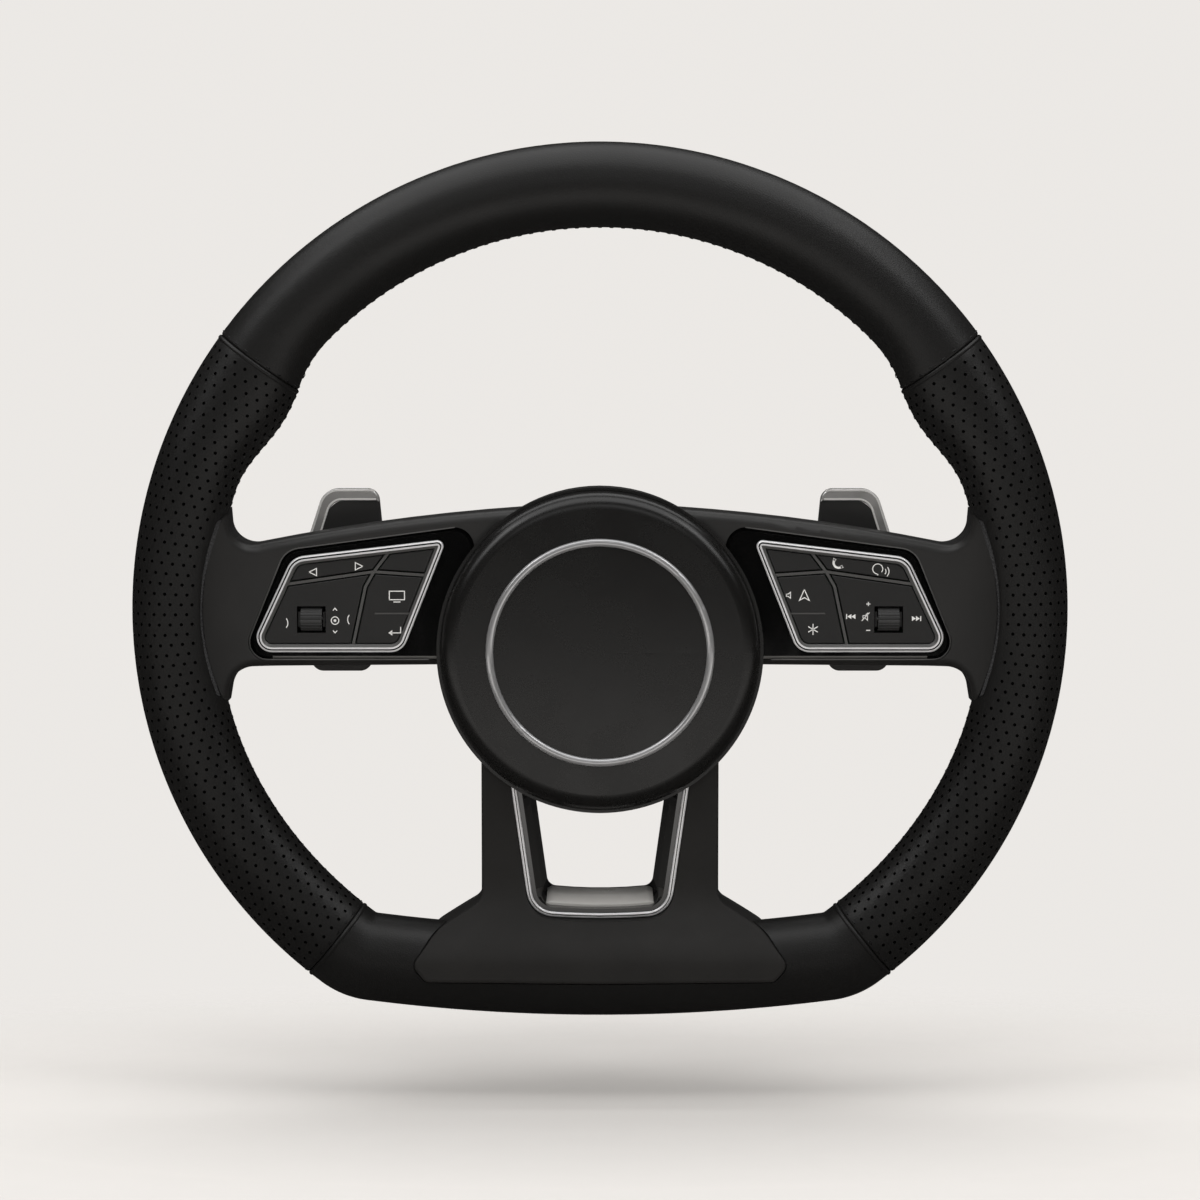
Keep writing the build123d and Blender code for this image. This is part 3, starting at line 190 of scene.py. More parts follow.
class Finish:
    """Node tree of one material, or of the world."""

    def __init__(self, owner):
        owner.use_nodes = True
        self.owner = owner
        self.tree = owner.node_tree
        self.tree.nodes.clear()

    def node(self, kind, settings, inputs, output=0):
        """Add a node: settings first, then the values or links of its sockets."""
        made = self.tree.nodes.new(kind)
        for key, setting in settings.items():
            if key == "stops":
                ends = made.color_ramp.elements
                for stop, (position, shade) in zip(ends, setting):
                    stop.position = position
                    stop.color = (shade, shade, shade, 1)
            else:
                setattr(made, key, setting)
        for key, given in inputs.items():
            if isinstance(given, Value):
                self.tree.links.new(given.socket, made.inputs[key])
            else:
                made.inputs[key].default_value = given
        return Value(self, made.outputs[output]) if made.outputs else None

    def place(self, scale=(1, 1, 1)):
        """Object coordinates in metres, stretched along an axis where a scale is given."""
        coordinates = self.node("ShaderNodeTexCoord", {}, {}, output="Object")
        return self.node("ShaderNodeMapping", {}, {"Vector": coordinates, "Scale": scale})

    def noise(self, place, scale, detail):
        return self.node("ShaderNodeTexNoise", {}, {"Vector": place, "Scale": scale, "Detail": detail})

    def cells(self, place, scale):
        """Distance to the creases of an irregular cell pattern."""
        settings = {"feature": "DISTANCE_TO_EDGE"}
        return self.node("ShaderNodeTexVoronoi", settings, {"Vector": place, "Scale": scale})

    def ramp(self, value, low, high):
        """Value spread from 0 at low to 1 at high."""
        return self.node("ShaderNodeValToRGB", {"stops": [(low, 0), (high, 1)]}, {"Fac": value})

    def mix(self, factor, first, second):
        """Blend of two colours."""
        settings = {"data_type": "RGBA"}
        return self.node("ShaderNodeMix", settings, {0: factor, 6: first, 7: second}, output=2)

    def bump(self, height, strength, distance):
        inputs = {"Height": height, "Strength": strength, "Distance": distance}
        return self.node("ShaderNodeBump", {}, inputs)

    def axis(self, vector, name):
        """One part of a vector."""
        return self.node("ShaderNodeSeparateXYZ", {}, {"Vector": vector}, output=name)

    def ray(self, kind):
        """Whether the ray that asks is of a kind."""
        return self.node("ShaderNodeLightPath", {}, {}, output=kind)

    def surface(self, **sockets):
        """Principled shader with the given sockets, joined to the output."""
        inputs = {name.replace("_", " "): given for name, given in sockets.items()}
        shader = self.node("ShaderNodeBsdfPrincipled", {}, inputs)
        self.node("ShaderNodeOutputMaterial", {}, {"Surface": shader})
        return self.owner

    def patterned(self, pattern, colour, shades, bump=None, **sockets):
        """Surface that follows a pattern between two shades of a colour, raised where bump is given."""
        low, high = (solid(colour, shade) for shade in shades)
        sockets["Base_Color"] = self.mix(pattern, low, high)
        if bump:
            sockets["Normal"] = self.bump(pattern, *bump)
        return self.surface(**sockets)


def solid(colour, factor=1.0):
    """Colour with its alpha, lightened or darkened by a factor."""
    return (colour[0] * factor, colour[1] * factor, colour[2] * factor, 1)


def new_finish(name):
    return Finish(bpy.data.materials.new(name))


def leather_finish(name, colour):
    """Matt leather: fine creased grain with painted shade darkening its creases, faint pulled patches and a
    slight shine where hands polish it.
    """
    finish = new_finish(name)
    place = finish.place()
    creases = finish.ramp(finish.cells(place, 1050.0), 0.0, 0.32)
    fibre = finish.noise(place, 3200.0, 3.0)
    patches = finish.noise(place, 34.0, 4.0)
    grain = creases * 0.8 + fibre * 0.3
    shade = finish.ramp(patches, 0.3, 0.75)
    base = finish.mix(shade, solid(colour, 0.88), solid(colour, 1.14))
    # Painted shade: the creases of the grain are darkened in colour
    painted_crease_shade = finish.mix(creases, solid(colour, 0.8), base)
    roughness = 0.41 - 0.06 * shade + 0.05 * fibre
    normal = finish.bump(grain, 0.16, 0.00022)
    return finish.surface(Base_Color=painted_crease_shade, Roughness=roughness, Normal=normal, Specular_IOR_Level=0.34)


def moulded_finish(name, colour, roughness, grain_scale, strength, specular=0.5):
    """Moulded plastic with a fine eroded grain and faint handling marks."""
    finish = new_finish(name)
    place = finish.place()
    grain = finish.noise(place, grain_scale, 2.0)
    pits = finish.ramp(finish.cells(place, grain_scale * 0.5), 0.0, 0.4)
    marks = finish.ramp(finish.noise(place, 42.0, 5.0), 0.35, 0.7)
    base = finish.mix(marks, solid(colour, 0.93), solid(colour, 1.07))
    rough = roughness - 0.06 * marks + 0.05 * grain
    normal = finish.bump(grain * 0.5 + pits * 0.5, strength, 0.00012)
    return finish.surface(Base_Color=base, Roughness=rough, Normal=normal, Specular_IOR_Level=specular)


def gloss_finish(name, colour):
    """Polished black lacquer with faint wipe marks and a trace of dust."""
    finish = new_finish(name)
    place = finish.place((1.0, 1.0, 0.35))
    wipe = finish.ramp(finish.noise(place, 120.0, 5.0), 0.4, 0.75)
    dust = finish.ramp(finish.cells(finish.place(), 620.0), 0.0, 0.05)
    coat = {"Specular_IOR_Level": 0.8, "Coat_Weight": 0.6, "Coat_Roughness": 0.03}
    return finish.patterned(dust, colour, (2.2, 1), Roughness=0.05 + 0.05 * wipe, **coat)


def bright_finish(name, colour, roughness, metallic):
    """Bright plated metal, slightly uneven in polish, partly metallic where the plating is satin."""
    finish = new_finish(name)
    cloud = finish.ramp(finish.noise(finish.place(), 160.0, 4.0), 0.3, 0.7)
    rough = roughness + 0.05 * cloud
    return finish.patterned(cloud, colour, (0.94, 1.03), Roughness=rough, Metallic=metallic)


def brushed_finish(name, colour, roughness, along):
    """Metal brushed along one axis."""
    finish = new_finish(name)
    lines = finish.noise(finish.place(along), 1500.0, 4.0)
    cloud = finish.noise(finish.place(), 60.0, 3.0)
    rough = roughness + 0.12 * lines + 0.05 * cloud
    return finish.patterned(lines, colour, (0.85, 1.08), (0.12, 0.00005), Roughness=rough, Metallic=1.0)


def cast_finish(name, colour):
    """Die-cast light metal with a sandy skin."""
    finish = new_finish(name)
    place = finish.place()
    sand = finish.noise(place, 1400.0, 4.0)
    flow = finish.ramp(finish.noise(place, 30.0, 5.0), 0.3, 0.7)
    base = finish.mix(flow, solid(colour, 0.82), solid(colour, 1.05))
    normal = finish.bump(sand, 0.3, 0.0002)
    return finish.surface(Base_Color=base, Roughness=0.42 + 0.15 * sand, Metallic=0.9, Normal=normal)


def foam_finish(name, colour):
    """Moulded foam with small open bubbles, darker with painted shade in the crevices between them."""
    finish = new_finish(name)
    bubbles = finish.ramp(finish.cells(finish.place(), 700.0), 0.0, 0.25)
    return finish.patterned(bubbles, colour, (0.6, 1), (0.4, 0.0004), Roughness=0.9 - 0.1 * bubbles)


def cloth_finish(name, colour):
    """Tightly woven folded cloth."""
    finish = new_finish(name)
    inputs = {"Vector": finish.place(), "Scale": 260.0}
    warp, weft = (
        finish.node("ShaderNodeTexWave", {"bands_direction": axis}, inputs, output="Fac") for axis in "XZ"
    )
    weave = warp * weft
    return finish.patterned(weave, colour, (0.7, 1), (0.4, 0.0003), Roughness=0.85 - 0.1 * weave)


def board_finish(name, colour):
    """Circuit board lacquer with darker tracks."""
    finish = new_finish(name)
    tracks = finish.ramp(finish.cells(finish.place((1, 1, 0.4)), 300.0), 0.05, 0.12)
    return finish.patterned(tracks, colour, (0.5, 1), Roughness=0.35 + 0.15 * tracks)


def thread_finish(name, colour):
    """Twisted sewing thread."""
    finish = new_finish(name)
    twist = finish.noise(finish.place(), 4200.0, 2.0)
    return finish.patterned(twist, colour, (0.6, 1.5), (0.4, 0.0001), Roughness=0.6 + 0.2 * twist)


def print_finish(name, colour):
    """Opaque white key print, slightly thin in places."""
    finish = new_finish(name)
    thin = finish.ramp(finish.noise(finish.place(), 900.0, 3.0), 0.25, 0.6)
    return finish.patterned(thin, colour, (0.86, 1), Roughness=0.5 - 0.08 * thin)


def hole_finish(name, colour):
    """Inside of a perforation, nearly black with painted shade, with torn fibre."""
    finish = new_finish(name)
    fibre = finish.noise(finish.place(), 5000.0, 2.0)
    rough = 0.85 + 0.1 * fibre
    return finish.patterned(fibre, colour, (0.3, 1), Roughness=rough, Specular_IOR_Level=0.0)


def dress(nodes, material):
    """Give CAD nodes a material."""
    for name in nodes:
        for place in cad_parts[name].material_slots:
            place.material = material


def both(*names):
    return [f"{side}_{name}" for side in SIDES for name in names]


# Angle from the top where the rim begins to widen towards its lower ends
WIDEN_START = radians(105.0)


def rim_width(angle, sizes):
    """Width of the rim at an angle from the top, with thumb rests and wider lower ends."""
    off_lobe = (angle - sizes.thumb_angle) / sizes.thumb_spread
    lobe = sizes.thumb_lobe * (1 + cos(pi * off_lobe)) / 2 if abs(off_lobe) < 1 else 0
    low = min(max((angle - WIDEN_START) / (sizes.lower_seam - WIDEN_START), 0), 1)
    return sizes.grip_width + lobe + (sizes.lower_width - sizes.grip_width) * low**2 * (3 - 2 * low)


def rim_point(angle, around, sizes, proud=0.0):
    """Point of the rim's surface; around runs from the outer edge towards the driver."""
    half = rim_width(abs(angle), sizes) / 2
    radius = sizes.wheel_radius - half + (half + proud) * cos(around)
    depth = sizes.rim_plane + (sizes.rim_depth / 2 + proud) * sin(around)
    return Vector((radius * sin(angle), -depth, radius * cos(angle)))


def rim_normal(angle, around, sizes):
    """Outward direction at a point of the rim's surface."""
    step = 0.001
    along = rim_point(angle + step, around, sizes) - rim_point(angle - step, around, sizes)
    across = rim_point(angle, around + step, sizes) - rim_point(angle, around - step, sizes)
    return across.cross(along).normalized()


def circle_through(a, b, c):
    """Centre and radius of the circle through three points."""
    d = 2 * (a[0] * (b[1] - c[1]) + b[0] * (c[1] - a[1]) + c[0] * (a[1] - b[1]))
    sa, sb, sc = (p[0] ** 2 + p[1] ** 2 for p in (a, b, c))
    x = (sa * (b[1] - c[1]) + sb * (c[1] - a[1]) + sc * (a[1] - b[1])) / d
    z = (sa * (c[0] - b[0]) + sb * (a[0] - c[0]) + sc * (b[0] - a[0])) / d
    return x, z, hypot(a[0] - x, a[1] - z)


# Three points of the spoke root's outline, and the height at the ends of its opening that stays closed
ROOT_TOP = (147.2 * MM, 41.0 * MM)
ROOT_EDGE = (156.0 * MM, 3.0 * MM)
ROOT_BOTTOM = (148.2 * MM, -36.0 * MM)
ROOT_MARGIN = 0.5 * MM


def root_reach(angle, sizes):
    """Turn round the section at which the spoke root's outline crosses the rim, or pi where it doesn't."""
    side, up = sin(angle), cos(angle)
    height = (sizes.wheel_radius - sizes.grip_width) * up
    if min(sizes.root_top - height, height - sizes.root_bottom) < ROOT_MARGIN:
        return pi
    x, z, radius = circle_through(ROOT_TOP, ROOT_EDGE, ROOT_BOTTOM)
    radius += sizes.root_gap + sizes.seam_round
    crossing = side * x + up * z + sqrt(radius**2 - (x * up - z * side) ** 2)
    half = rim_width(angle, sizes) / 2
    return acos((crossing - sizes.wheel_radius + half) / half)


def grip_angles(sizes):
    """Angles of the rows along a grip, with a row at each end of its opening."""
    middle = sizes.wheel_radius - sizes.grip_width / 2
    inner = sizes.wheel_radius - sizes.grip_width
    fold = sizes.seam_round / middle
    tips = [acos(height / inner) for height in (sizes.root_top, sizes.root_bottom)]
    ends = [sizes.upper_seam + fold, *tips, sizes.lower_seam - fold]
    angles = ends[:1]
    for start, end in zip(ends, ends[1:]):
        steps = round((end - start) * middle / sizes.row_pitch)
        angles += [start + (end - start) * (step + 1) / steps for step in range(steps)]
    return angles


def picked(items, kind):
    """The vertices, edges or faces among an operator's results."""
    return [item for item in items if isinstance(item, kind)]


def link_piece(bm, name, body, materials):
    """Finish a bmesh as a piece that rides on a body."""
    mesh = bpy.data.meshes.new(name)
    bm.to_mesh(mesh)
    bm.free()
    for material in materials:
        mesh.materials.append(material)
    piece = bpy.data.objects.new(name, mesh)
    bpy.context.scene.collection.objects.link(piece)
    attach(piece, body)
    return piece


# Turns of the round by which a leather edge is folded in
ROLL_TURNS = (0.5, 0.9, 1.25, pi / 2)


def roll_edges(bm, edges, directions, radius, depth):
    """Turn open edges in: a quarter round and then a short wall; directions gives outward and onward."""
    ring = {vert: (vert.co.copy(), *directions[vert]) for edge in edges for vert in edge.verts}
    current = list(edges)
    for turn in (*ROLL_TURNS, None):
        made = bmesh.ops.extrude_edge_only(bm, edges=current)["geom"]
        current = picked(made, bmesh.types.BMEdge)
        moved = {}
        for vert in picked(made, bmesh.types.BMVert):
            neighbours = (edge.other_vert(vert) for edge in vert.link_edges)
            source = next(other for other in neighbours if other in ring)
            base, outward, onward = ring[source]
            if turn is None:
                vert.co = base + onward * radius - outward * depth
            else:
                vert.co = base + onward * radius * sin(turn) - outward * radius * (1 - cos(turn))
            moved[vert] = ring[source]
        ring = moved


def smoothed(bm):
    """Turn the faces outwards and shade them smooth."""
    bmesh.ops.recalc_face_normals(bm, faces=bm.faces[:])
    for face in bm.faces:
        face.smooth = True
    return bm


def grip_tube(sizes):
    """Plain tube for the right-hand grip, with the angle, row and column of each vertex."""
    angles = grip_angles(sizes)
    rows, columns = len(angles) - 1, sizes.hole_columns
    first, last = angles[0], angles[-1]
    step, turn = (last - first) / rows, tau / columns
    half, deep = sizes.grip_width / 2, sizes.rim_depth / 2
    middle = sizes.wheel_radius - half
    bm = bmesh.new()
    section = Matrix(((0, 0, 1, 0), (-deep, 0, 0, -sizes.rim_plane), (0, half, 0, middle), (0, 0, 0, 1)))
    start = Matrix.Rotation(first, 4, "Y") @ section
    bmesh.ops.create_circle(bm, segments=columns, radius=1, matrix=start)
    geometry = bm.verts[:] + bm.edges[:]
    bmesh.ops.spin(bm, geom=geometry, cent=(0, 0, 0), axis=(0, 1, 0), angle=last - first, steps=rows)
    grid = {}
    for vert in bm.verts:
        row = round((atan2(vert.co.x, vert.co.z) - first) / step)
        across = (hypot(vert.co.x, vert.co.z) - middle) / half
        column = round(atan2((-vert.co.y - sizes.rim_plane) / deep, across) / turn) % columns
        grid[vert] = (angles[row], row, column)
    return bm, grid, rows


def open_root(bm, grid, rows, sizes):
    """Shape the tube to the rim and open it at the spoke; gives the outward direction of each vertex."""
    columns = sizes.hole_columns
    turn, centre = tau / columns, columns // 2
    place = {(row, column): vert for vert, (angle, row, column) in grid.items()}
    welds, opened, around = {}, {}, {}
    for vert, (angle, row, column) in grid.items():
        around[vert] = column * turn if column <= centre else column * turn - tau
    for row in range(rows + 1):
        reach = root_reach(grid[place[row, 0]][0], sizes)
        kept = round(reach / turn)
        opened[row] = kept < centre
        if not opened[row]:
            continue
        front, back = place[row, kept], place[row, columns - kept]
        around[front], around[back] = reach, -reach
        for column in range(kept + 1, columns - kept):
            welds[place[row, column]] = front if column <= centre else back
    for vert, (angle, row, column) in grid.items():
        vert.co = rim_point(angle, around[vert], sizes)
    outward = {vert: rim_normal(grid[vert][0], around[vert], sizes) for vert in grid}
    spare = []
    for row in range(rows):
        if opened[row] or opened[row + 1]:
            corners = {place[row + i, centre + j] for i in (0, 1) for j in (0, 1)}
            spare += [face for face in place[row, centre].link_faces if corners == set(face.verts)]
    bmesh.ops.delete(bm, geom=spare, context="FACES_ONLY")
    bmesh.ops.weld_verts(bm, targetmap=welds)
    loose = [edge for edge in bm.edges if not edge.link_faces]
    bmesh.ops.delete(bm, geom=loose, context="EDGES")
    bmesh.ops.delete(bm, geom=[vert for vert in bm.verts if not vert.link_faces], context="VERTS")
    bmesh.ops.recalc_face_normals(bm, faces=bm.faces[:])
    return outward


def edge_directions(seams, root, grid, outward):
    """Outward and onward directions at the open edges of a grip."""
    directions = {}
    for vert in (vert for edge in seams for vert in edge.verts):
        angle, row, column = grid[vert]
        onward = Vector((cos(angle), 0, -sin(angle))) * (-1 if row == 0 else 1)
        directions[vert] = (outward[vert], onward)
    for vert in (vert for edge in root for vert in edge.verts):
        ends = [edge.other_vert(vert).co for edge in vert.link_edges if edge.is_boundary]
        onward = outward[vert].cross(ends[1] - ends[0]).normalized()
        inner = [edge.other_vert(vert).co for edge in vert.link_edges if not edge.is_boundary]
        away = sum((co - vert.co for co in inner), Vector())
        directions[vert] = (outward[vert], onward if onward.dot(away) < 0 else -onward)
    return directions


def punch(bm, holes, sizes):
    """Round holes at the given vertices, with walls and floors in the second material, dark with painted
    shade.
    """
    cuts = bmesh.ops.bevel(
        bm, geom=holes, offset=sizes.hole_radius, affect="VERTICES", segments=1, profile=0.5, material=-1
    )
    cups = [face for face in cuts["faces"] if len(face.verts) == 4]
    for face in cups:
        for edge in face.edges[:]:
            bmesh.utils.edge_split(edge, edge.verts[0], 0.5)
    for face in cups:
        centre = face.calc_center_median()
        for vert in face.verts:
            vert.co = centre + (vert.co - centre).normalized() * sizes.hole_radius
    bm.normal_update()
    for face in bmesh.ops.extrude_discrete_faces(bm, faces=cups)["faces"]:
        face.material_index = 1
        down = face.normal * sizes.hole_depth
        for vert in face.verts:
            vert.co -= down
        for edge in face.edges:
            edge.smooth = False
            for wall in edge.link_faces:
                wall.material_index = 1
                for side in wall.edges:
                    side.smooth = False


def grip_mesh(sizes):
    """Right-hand grip: tube along the rim, opened at the spoke, turned in at its edges and perforated."""
    bm, grid, rows = grip_tube(sizes)
    outward = open_root(bm, grid, rows, sizes)
    rim_edges = [edge for edge in bm.edges if edge.is_boundary]
    upper = [edge for edge in rim_edges if all(grid[vert][1] == 0 for vert in edge.verts)]
    lower = [edge for edge in rim_edges if all(grid[vert][1] == rows for vert in edge.verts)]
    root = [edge for edge in rim_edges if edge not in upper and edge not in lower]
    near = {vert for edge in rim_edges for vert in edge.verts}
    for vert in [vert for edge in root for vert in edge.verts]:
        near.update(edge.other_vert(vert) for edge in vert.link_edges)
    crossings = [vert for vert in bm.verts if vert not in near and len(vert.link_edges) == 4]
    holes = [vert for vert in crossings if sum(grid[vert][1:]) % 2 == 0]
    directions = edge_directions(upper + lower, root, grid, outward)
    punch(bm, holes, sizes)
    for edges in (upper, lower, root):
        roll_edges(bm, edges, directions, sizes.seam_round, sizes.leather)
    return smoothed(bm)


def mirrored(bm):
    """Turn a right-hand bmesh into its left-hand image."""
    bmesh.ops.scale(bm, vec=(-1, 1, 1), verts=bm.verts[:])
    bmesh.ops.reverse_faces(bm, faces=bm.faces[:])
    return bm


# Sides of a thread, sides and steps of a fold's ring, and the radius of the ring before it is laid
THREAD_SIDES = 6
WELT_SIDES = 12
WELT_STEPS = 72
WELT_RING = 2.0

# Path of a lace: turn round the section, share of its lean, and height in millimetres
LACE_PATH = [(-0.11, -1, -0.3), (-0.05, -0.5, 0.05), (0.05, 0.5, 0.05), (0.11, 1, -0.3)]
LACE_LEAN = 1.1 * MM

# Path of a stitch: share of its stretch and height in millimetres
STITCH_PATH = [(0.0, -0.3), (0.25, 0.0), (0.5, 0.05), (0.75, 0.0), (1.0, -0.3)]
STITCH_SHARE = 0.4
STITCH_INSET = 1.3 * MM

# Angles by which the lacing stays clear of the seams and of the spoke's opening
SEAM_CLEAR = 0.012
ROOT_CLEAR = 0.01


def lay_thread(bm, points, radius):
    """Short six-sided thread through a few points, closed at both ends."""
    ahead = (points[1] - points[0]).normalized()
    frame_turn = ahead.to_track_quat("Z", "Y").to_matrix().to_4x4()
    start = Matrix.Translation(points[0]) @ frame_turn
    made = bmesh.ops.create_circle(bm, cap_ends=True, segments=THREAD_SIDES, radius=radius, matrix=start)
    front = made["verts"][0].link_faces[0]
    for before, after in zip(points, points[1:]):
        grown = bmesh.ops.extrude_face_region(bm, geom=[front])["geom"]
        front = picked(grown, bmesh.types.BMFace)[0]
        bmesh.ops.translate(bm, verts=front.verts[:], vec=after - before)


def lay_welt(bm, angle, sizes):
    """Fold of leather all round the section, sunk so that only its crown stands out."""
    known = set(bm.verts)
    section = Matrix.Translation((WELT_RING, 0, 0)) @ Matrix.Rotation(pi / 2, 4, "X")
    circle = bmesh.ops.create_circle(bm, segments=WELT_SIDES, radius=1, matrix=section)["verts"]
    ring = circle + list({edge for vert in circle for edge in vert.link_edges})
    bmesh.ops.spin(
        bm, geom=ring, cent=(0, 0, 0), axis=(0, 0, 1), angle=tau, steps=WELT_STEPS, use_merge=True
    )
    along = Vector((cos(angle), 0, -sin(angle)))
    sunk = sizes.welt_proud - sizes.welt_radius
    for vert in set(bm.verts) - known:
        around = atan2(vert.co.y, vert.co.x)
        turn = atan2(vert.co.z, hypot(vert.co.x, vert.co.y) - WELT_RING)
        outward = rim_normal(angle, around, sizes)
        middle = rim_point(angle, around, sizes) + outward * sunk
        vert.co = middle + (outward * cos(turn) + along * sin(turn)) * sizes.welt_radius


def lacing_mesh(sizes):
    """Laces along the inner edge of the rim, clear of the seams and the spokes."""
    bm = bmesh.new()
    inner = sizes.wheel_radius - sizes.grip_width
    lean = LACE_LEAN / inner
    count = int(2 * sizes.lower_seam * inner / sizes.lace_pitch)
    for number in range(count):
        angle = -sizes.lower_seam + 2 * sizes.lower_seam * (number + 0.5) / count
        to_seam = min(abs(abs(angle) - seam) for seam in (sizes.upper_seam, sizes.lower_seam))
        if to_seam < SEAM_CLEAR or root_reach(abs(angle), sizes) < pi - ROOT_CLEAR:
            continue
        places = [(angle + lean * along, pi + turn, proud * MM) for turn, along, proud in LACE_PATH]
        points = [rim_point(place, around, sizes, proud) for place, around, proud in places]
        lay_thread(bm, points, sizes.lace_radius)
    return smoothed(bm)


def seam_meshes(sizes):
    """Stitches beside the four seams, and the folds of leather along them."""
    stitches, welts = bmesh.new(), bmesh.new()
    girth = pi * (sizes.grip_width + sizes.rim_depth) / 2
    count = int(girth / sizes.stitch_pitch)
    stretch = STITCH_SHARE * tau / count
    middle = sizes.wheel_radius - sizes.grip_width / 2
    for sign in SIDES.values():
        for seam in (sizes.upper_seam, sizes.lower_seam):
            lay_welt(welts, sign * (seam + sizes.welt_radius / middle), sizes)
            angle = sign * (seam - STITCH_INSET / middle)
            for number in range(count):
                start = tau * number / count
                places = [(start + share * stretch, proud * MM) for share, proud in STITCH_PATH]
                points = [rim_point(angle, around, sizes, proud) for around, proud in places]
                lay_thread(stitches, points, sizes.thread_radius)
    return smoothed(stitches), smoothed(welts)


# Degrees to a step of an arc, sides of a dot, steps of a rounded corner and the least rounding of one
ARC_STEP = 15
DOT_SIDES = 16
ROUND_STEPS = 8
LEAST_ROUND = 0.2

# Distance at which points of an inlay are joined, and its usual sinking and thickness
JOIN_DISTANCE = 0.004 * MM
SUNK = 0.02 * MM
FILM = 0.05 * MM


class Inlay:
    """Thin layer of bars, arcs and filled shapes on a plane facing the driver, drawn in millimetres."""

    def __init__(self, front, stroke):
        self.bm = bmesh.new()
        self.front = front
        self.stroke = stroke
        self.centre = (0.0, 0.0)

    def at(self, x, z):
        return Vector(((self.centre[0] + x) * MM, -self.front, (self.centre[1] + z) * MM))

    def bar(self, *points, width=None):
        """Stroke along straight runs with mitred corners."""
        half = (width or self.stroke) / 2
        runs = [Vector(b) - Vector(a) for a, b in zip(points, points[1:])]
        sides = [Vector((-run.y, run.x)).normalized() for run in runs]
        pairs = []
        for number, (x, z) in enumerate(points):
            before = sides[max(number - 1, 0)]
            after = sides[min(number, len(sides) - 1)]
            mitre = (before + after) / (1 + before.dot(after)) * half
            pairs.append((self.at(x + mitre.x, z + mitre.y), self.at(x - mitre.x, z - mitre.y)))
        self.ribbon(pairs)

    def ribbon(self, pairs):
        """Strip of faces between the two points of each pair."""
        ends = None
        for edge in pairs:
            if ends is None:
                ends = self.bm.edges.new([self.bm.verts.new(co) for co in edge])
                left = ends.verts[0]
            else:
                grown = bmesh.ops.extrude_edge_only(self.bm, edges=[ends])["geom"]
                ends = picked(grown, bmesh.types.BMEdge)[0]
                joined = {e.other_vert(left) for e in left.link_edges}
                left, right = sorted(ends.verts, key=lambda vert: vert not in joined)
                left.co, right.co = edge

    def arc(self, x, z, radius, start, end, width=None):
        """Stroke along an arc, in degrees from the right and up."""
        half = (width or self.stroke) / 2
        side, up = cos(radians(start)), sin(radians(start))
        edge = [self.at(x + side * r, z + up * r) for r in (radius - half, radius + half)]
        verts = [self.bm.verts.new(co) for co in edge]
        geometry = verts + [self.bm.edges.new(verts)]
        sweep = abs(end - start)
        bmesh.ops.spin(
            self.bm,
            geom=geometry,
            cent=self.at(x, z),
            axis=(0, -1, 0),
            angle=radians(end - start),
            steps=max(int(sweep / ARC_STEP), 3),
            use_merge=sweep >= 360,
        )

    def shape(self, *points):
        """Filled outline."""
        self.bm.faces.new([self.bm.verts.new(self.at(x, z)) for x, z in points])

    def dot(self, x, z, radius):
        """Filled disc."""
        place = Matrix.Translation(self.at(x, z)) @ Matrix.Rotation(pi / 2, 4, "X")
        size = radius * MM
        bmesh.ops.create_circle(self.bm, cap_ends=True, segments=DOT_SIDES, radius=size, matrix=place)

    def thicken(self, depth):
        """Give the layer its thickness, standing out towards the driver."""
        bm = self.bm
        bmesh.ops.remove_doubles(bm, verts=bm.verts[:], dist=JOIN_DISTANCE)
        grown = bmesh.ops.extrude_face_region(bm, geom=bm.faces[:], use_keep_orig=True)["geom"]
        raised = picked(grown, bmesh.types.BMVert)
        bmesh.ops.translate(bm, verts=raised, vec=(0, -depth, 0))
        bmesh.ops.recalc_face_normals(bm, faces=bm.faces[:])
        return bm

    def piece(self, depth, name, body, slot, material):
        """Thicken the layer and link it as a piece."""
        link_piece(self.thicken(depth), name, body, [material])


def rounded(corners, radii):
    """Points along a polyline whose inner corners are rounded."""
    places = [Vector(corner) for corner in corners]
    points = [places[0]]
    for before, corner, after, radius in zip(places, places[1:], places[2:], radii):
        back, ahead = (before - corner).normalized(), (after - corner).normalized()
        half = back.angle(ahead) / 2
        centre = corner + (back + ahead).normalized() * radius / sin(half)
        start = (corner + back * radius / tan(half) - centre).normalized()
        end = (corner + ahead * radius / tan(half) - centre).normalized()
        turns = [start.slerp(end, step / ROUND_STEPS) for step in range(ROUND_STEPS + 1)]
        points += [centre + turn * radius for turn in turns]
    return points + [places[-1]]


def inset(corners, distance):
    """Corners of a closed outline, moved inwards."""
    places = [Vector(corner) for corner in corners]
    moved = []
    for before, corner, after in zip(places[-1:] + places, places, places[1:] + places[:1]):
        back, ahead = (before - corner).normalized(), (after - corner).normalized()
        moved.append(corner + (back + ahead).normalized() * distance / sin(back.angle(ahead) / 2))
    return moved


def frame_loop(sign, distance):
    """Closed rounded path inside a pod's frame at a distance from its outer edge."""
    corners = inset([(sign * x, z) for x, z in POD_CORNERS], distance)
    start = corners[0].lerp(corners[-1], 0.5)
    radii = [max(radius - distance, LEAST_ROUND) for radius in POD_ROUNDS]
    return rounded([start] + corners + [start], radii)


def window_ledge(section, bow, reach):
    """Wedge along the bowed floor of the window, bent down towards the front."""
    bm = bmesh.new()
    outline = [bm.verts.new((0, -depth * MM, height * MM)) for depth, height in section]
    bm.faces.new(outline)
    centre = (0, 0, section[0][1] * MM + bow)
    bmesh.ops.rotate(bm, cent=centre, matrix=Matrix.Rotation(-reach, 3, "Y"), verts=outline)
    geometry = bm.verts[:] + bm.edges[:] + bm.faces[:]
    bmesh.ops.spin(bm, geom=geometry, cent=centre, axis=(0, 1, 0), angle=2 * reach, steps=LEDGE_STEPS)
    bmesh.ops.recalc_face_normals(bm, faces=bm.faces[:])
    for face in bm.faces:
        face.smooth = face.normal.z > 0.5
    return bm


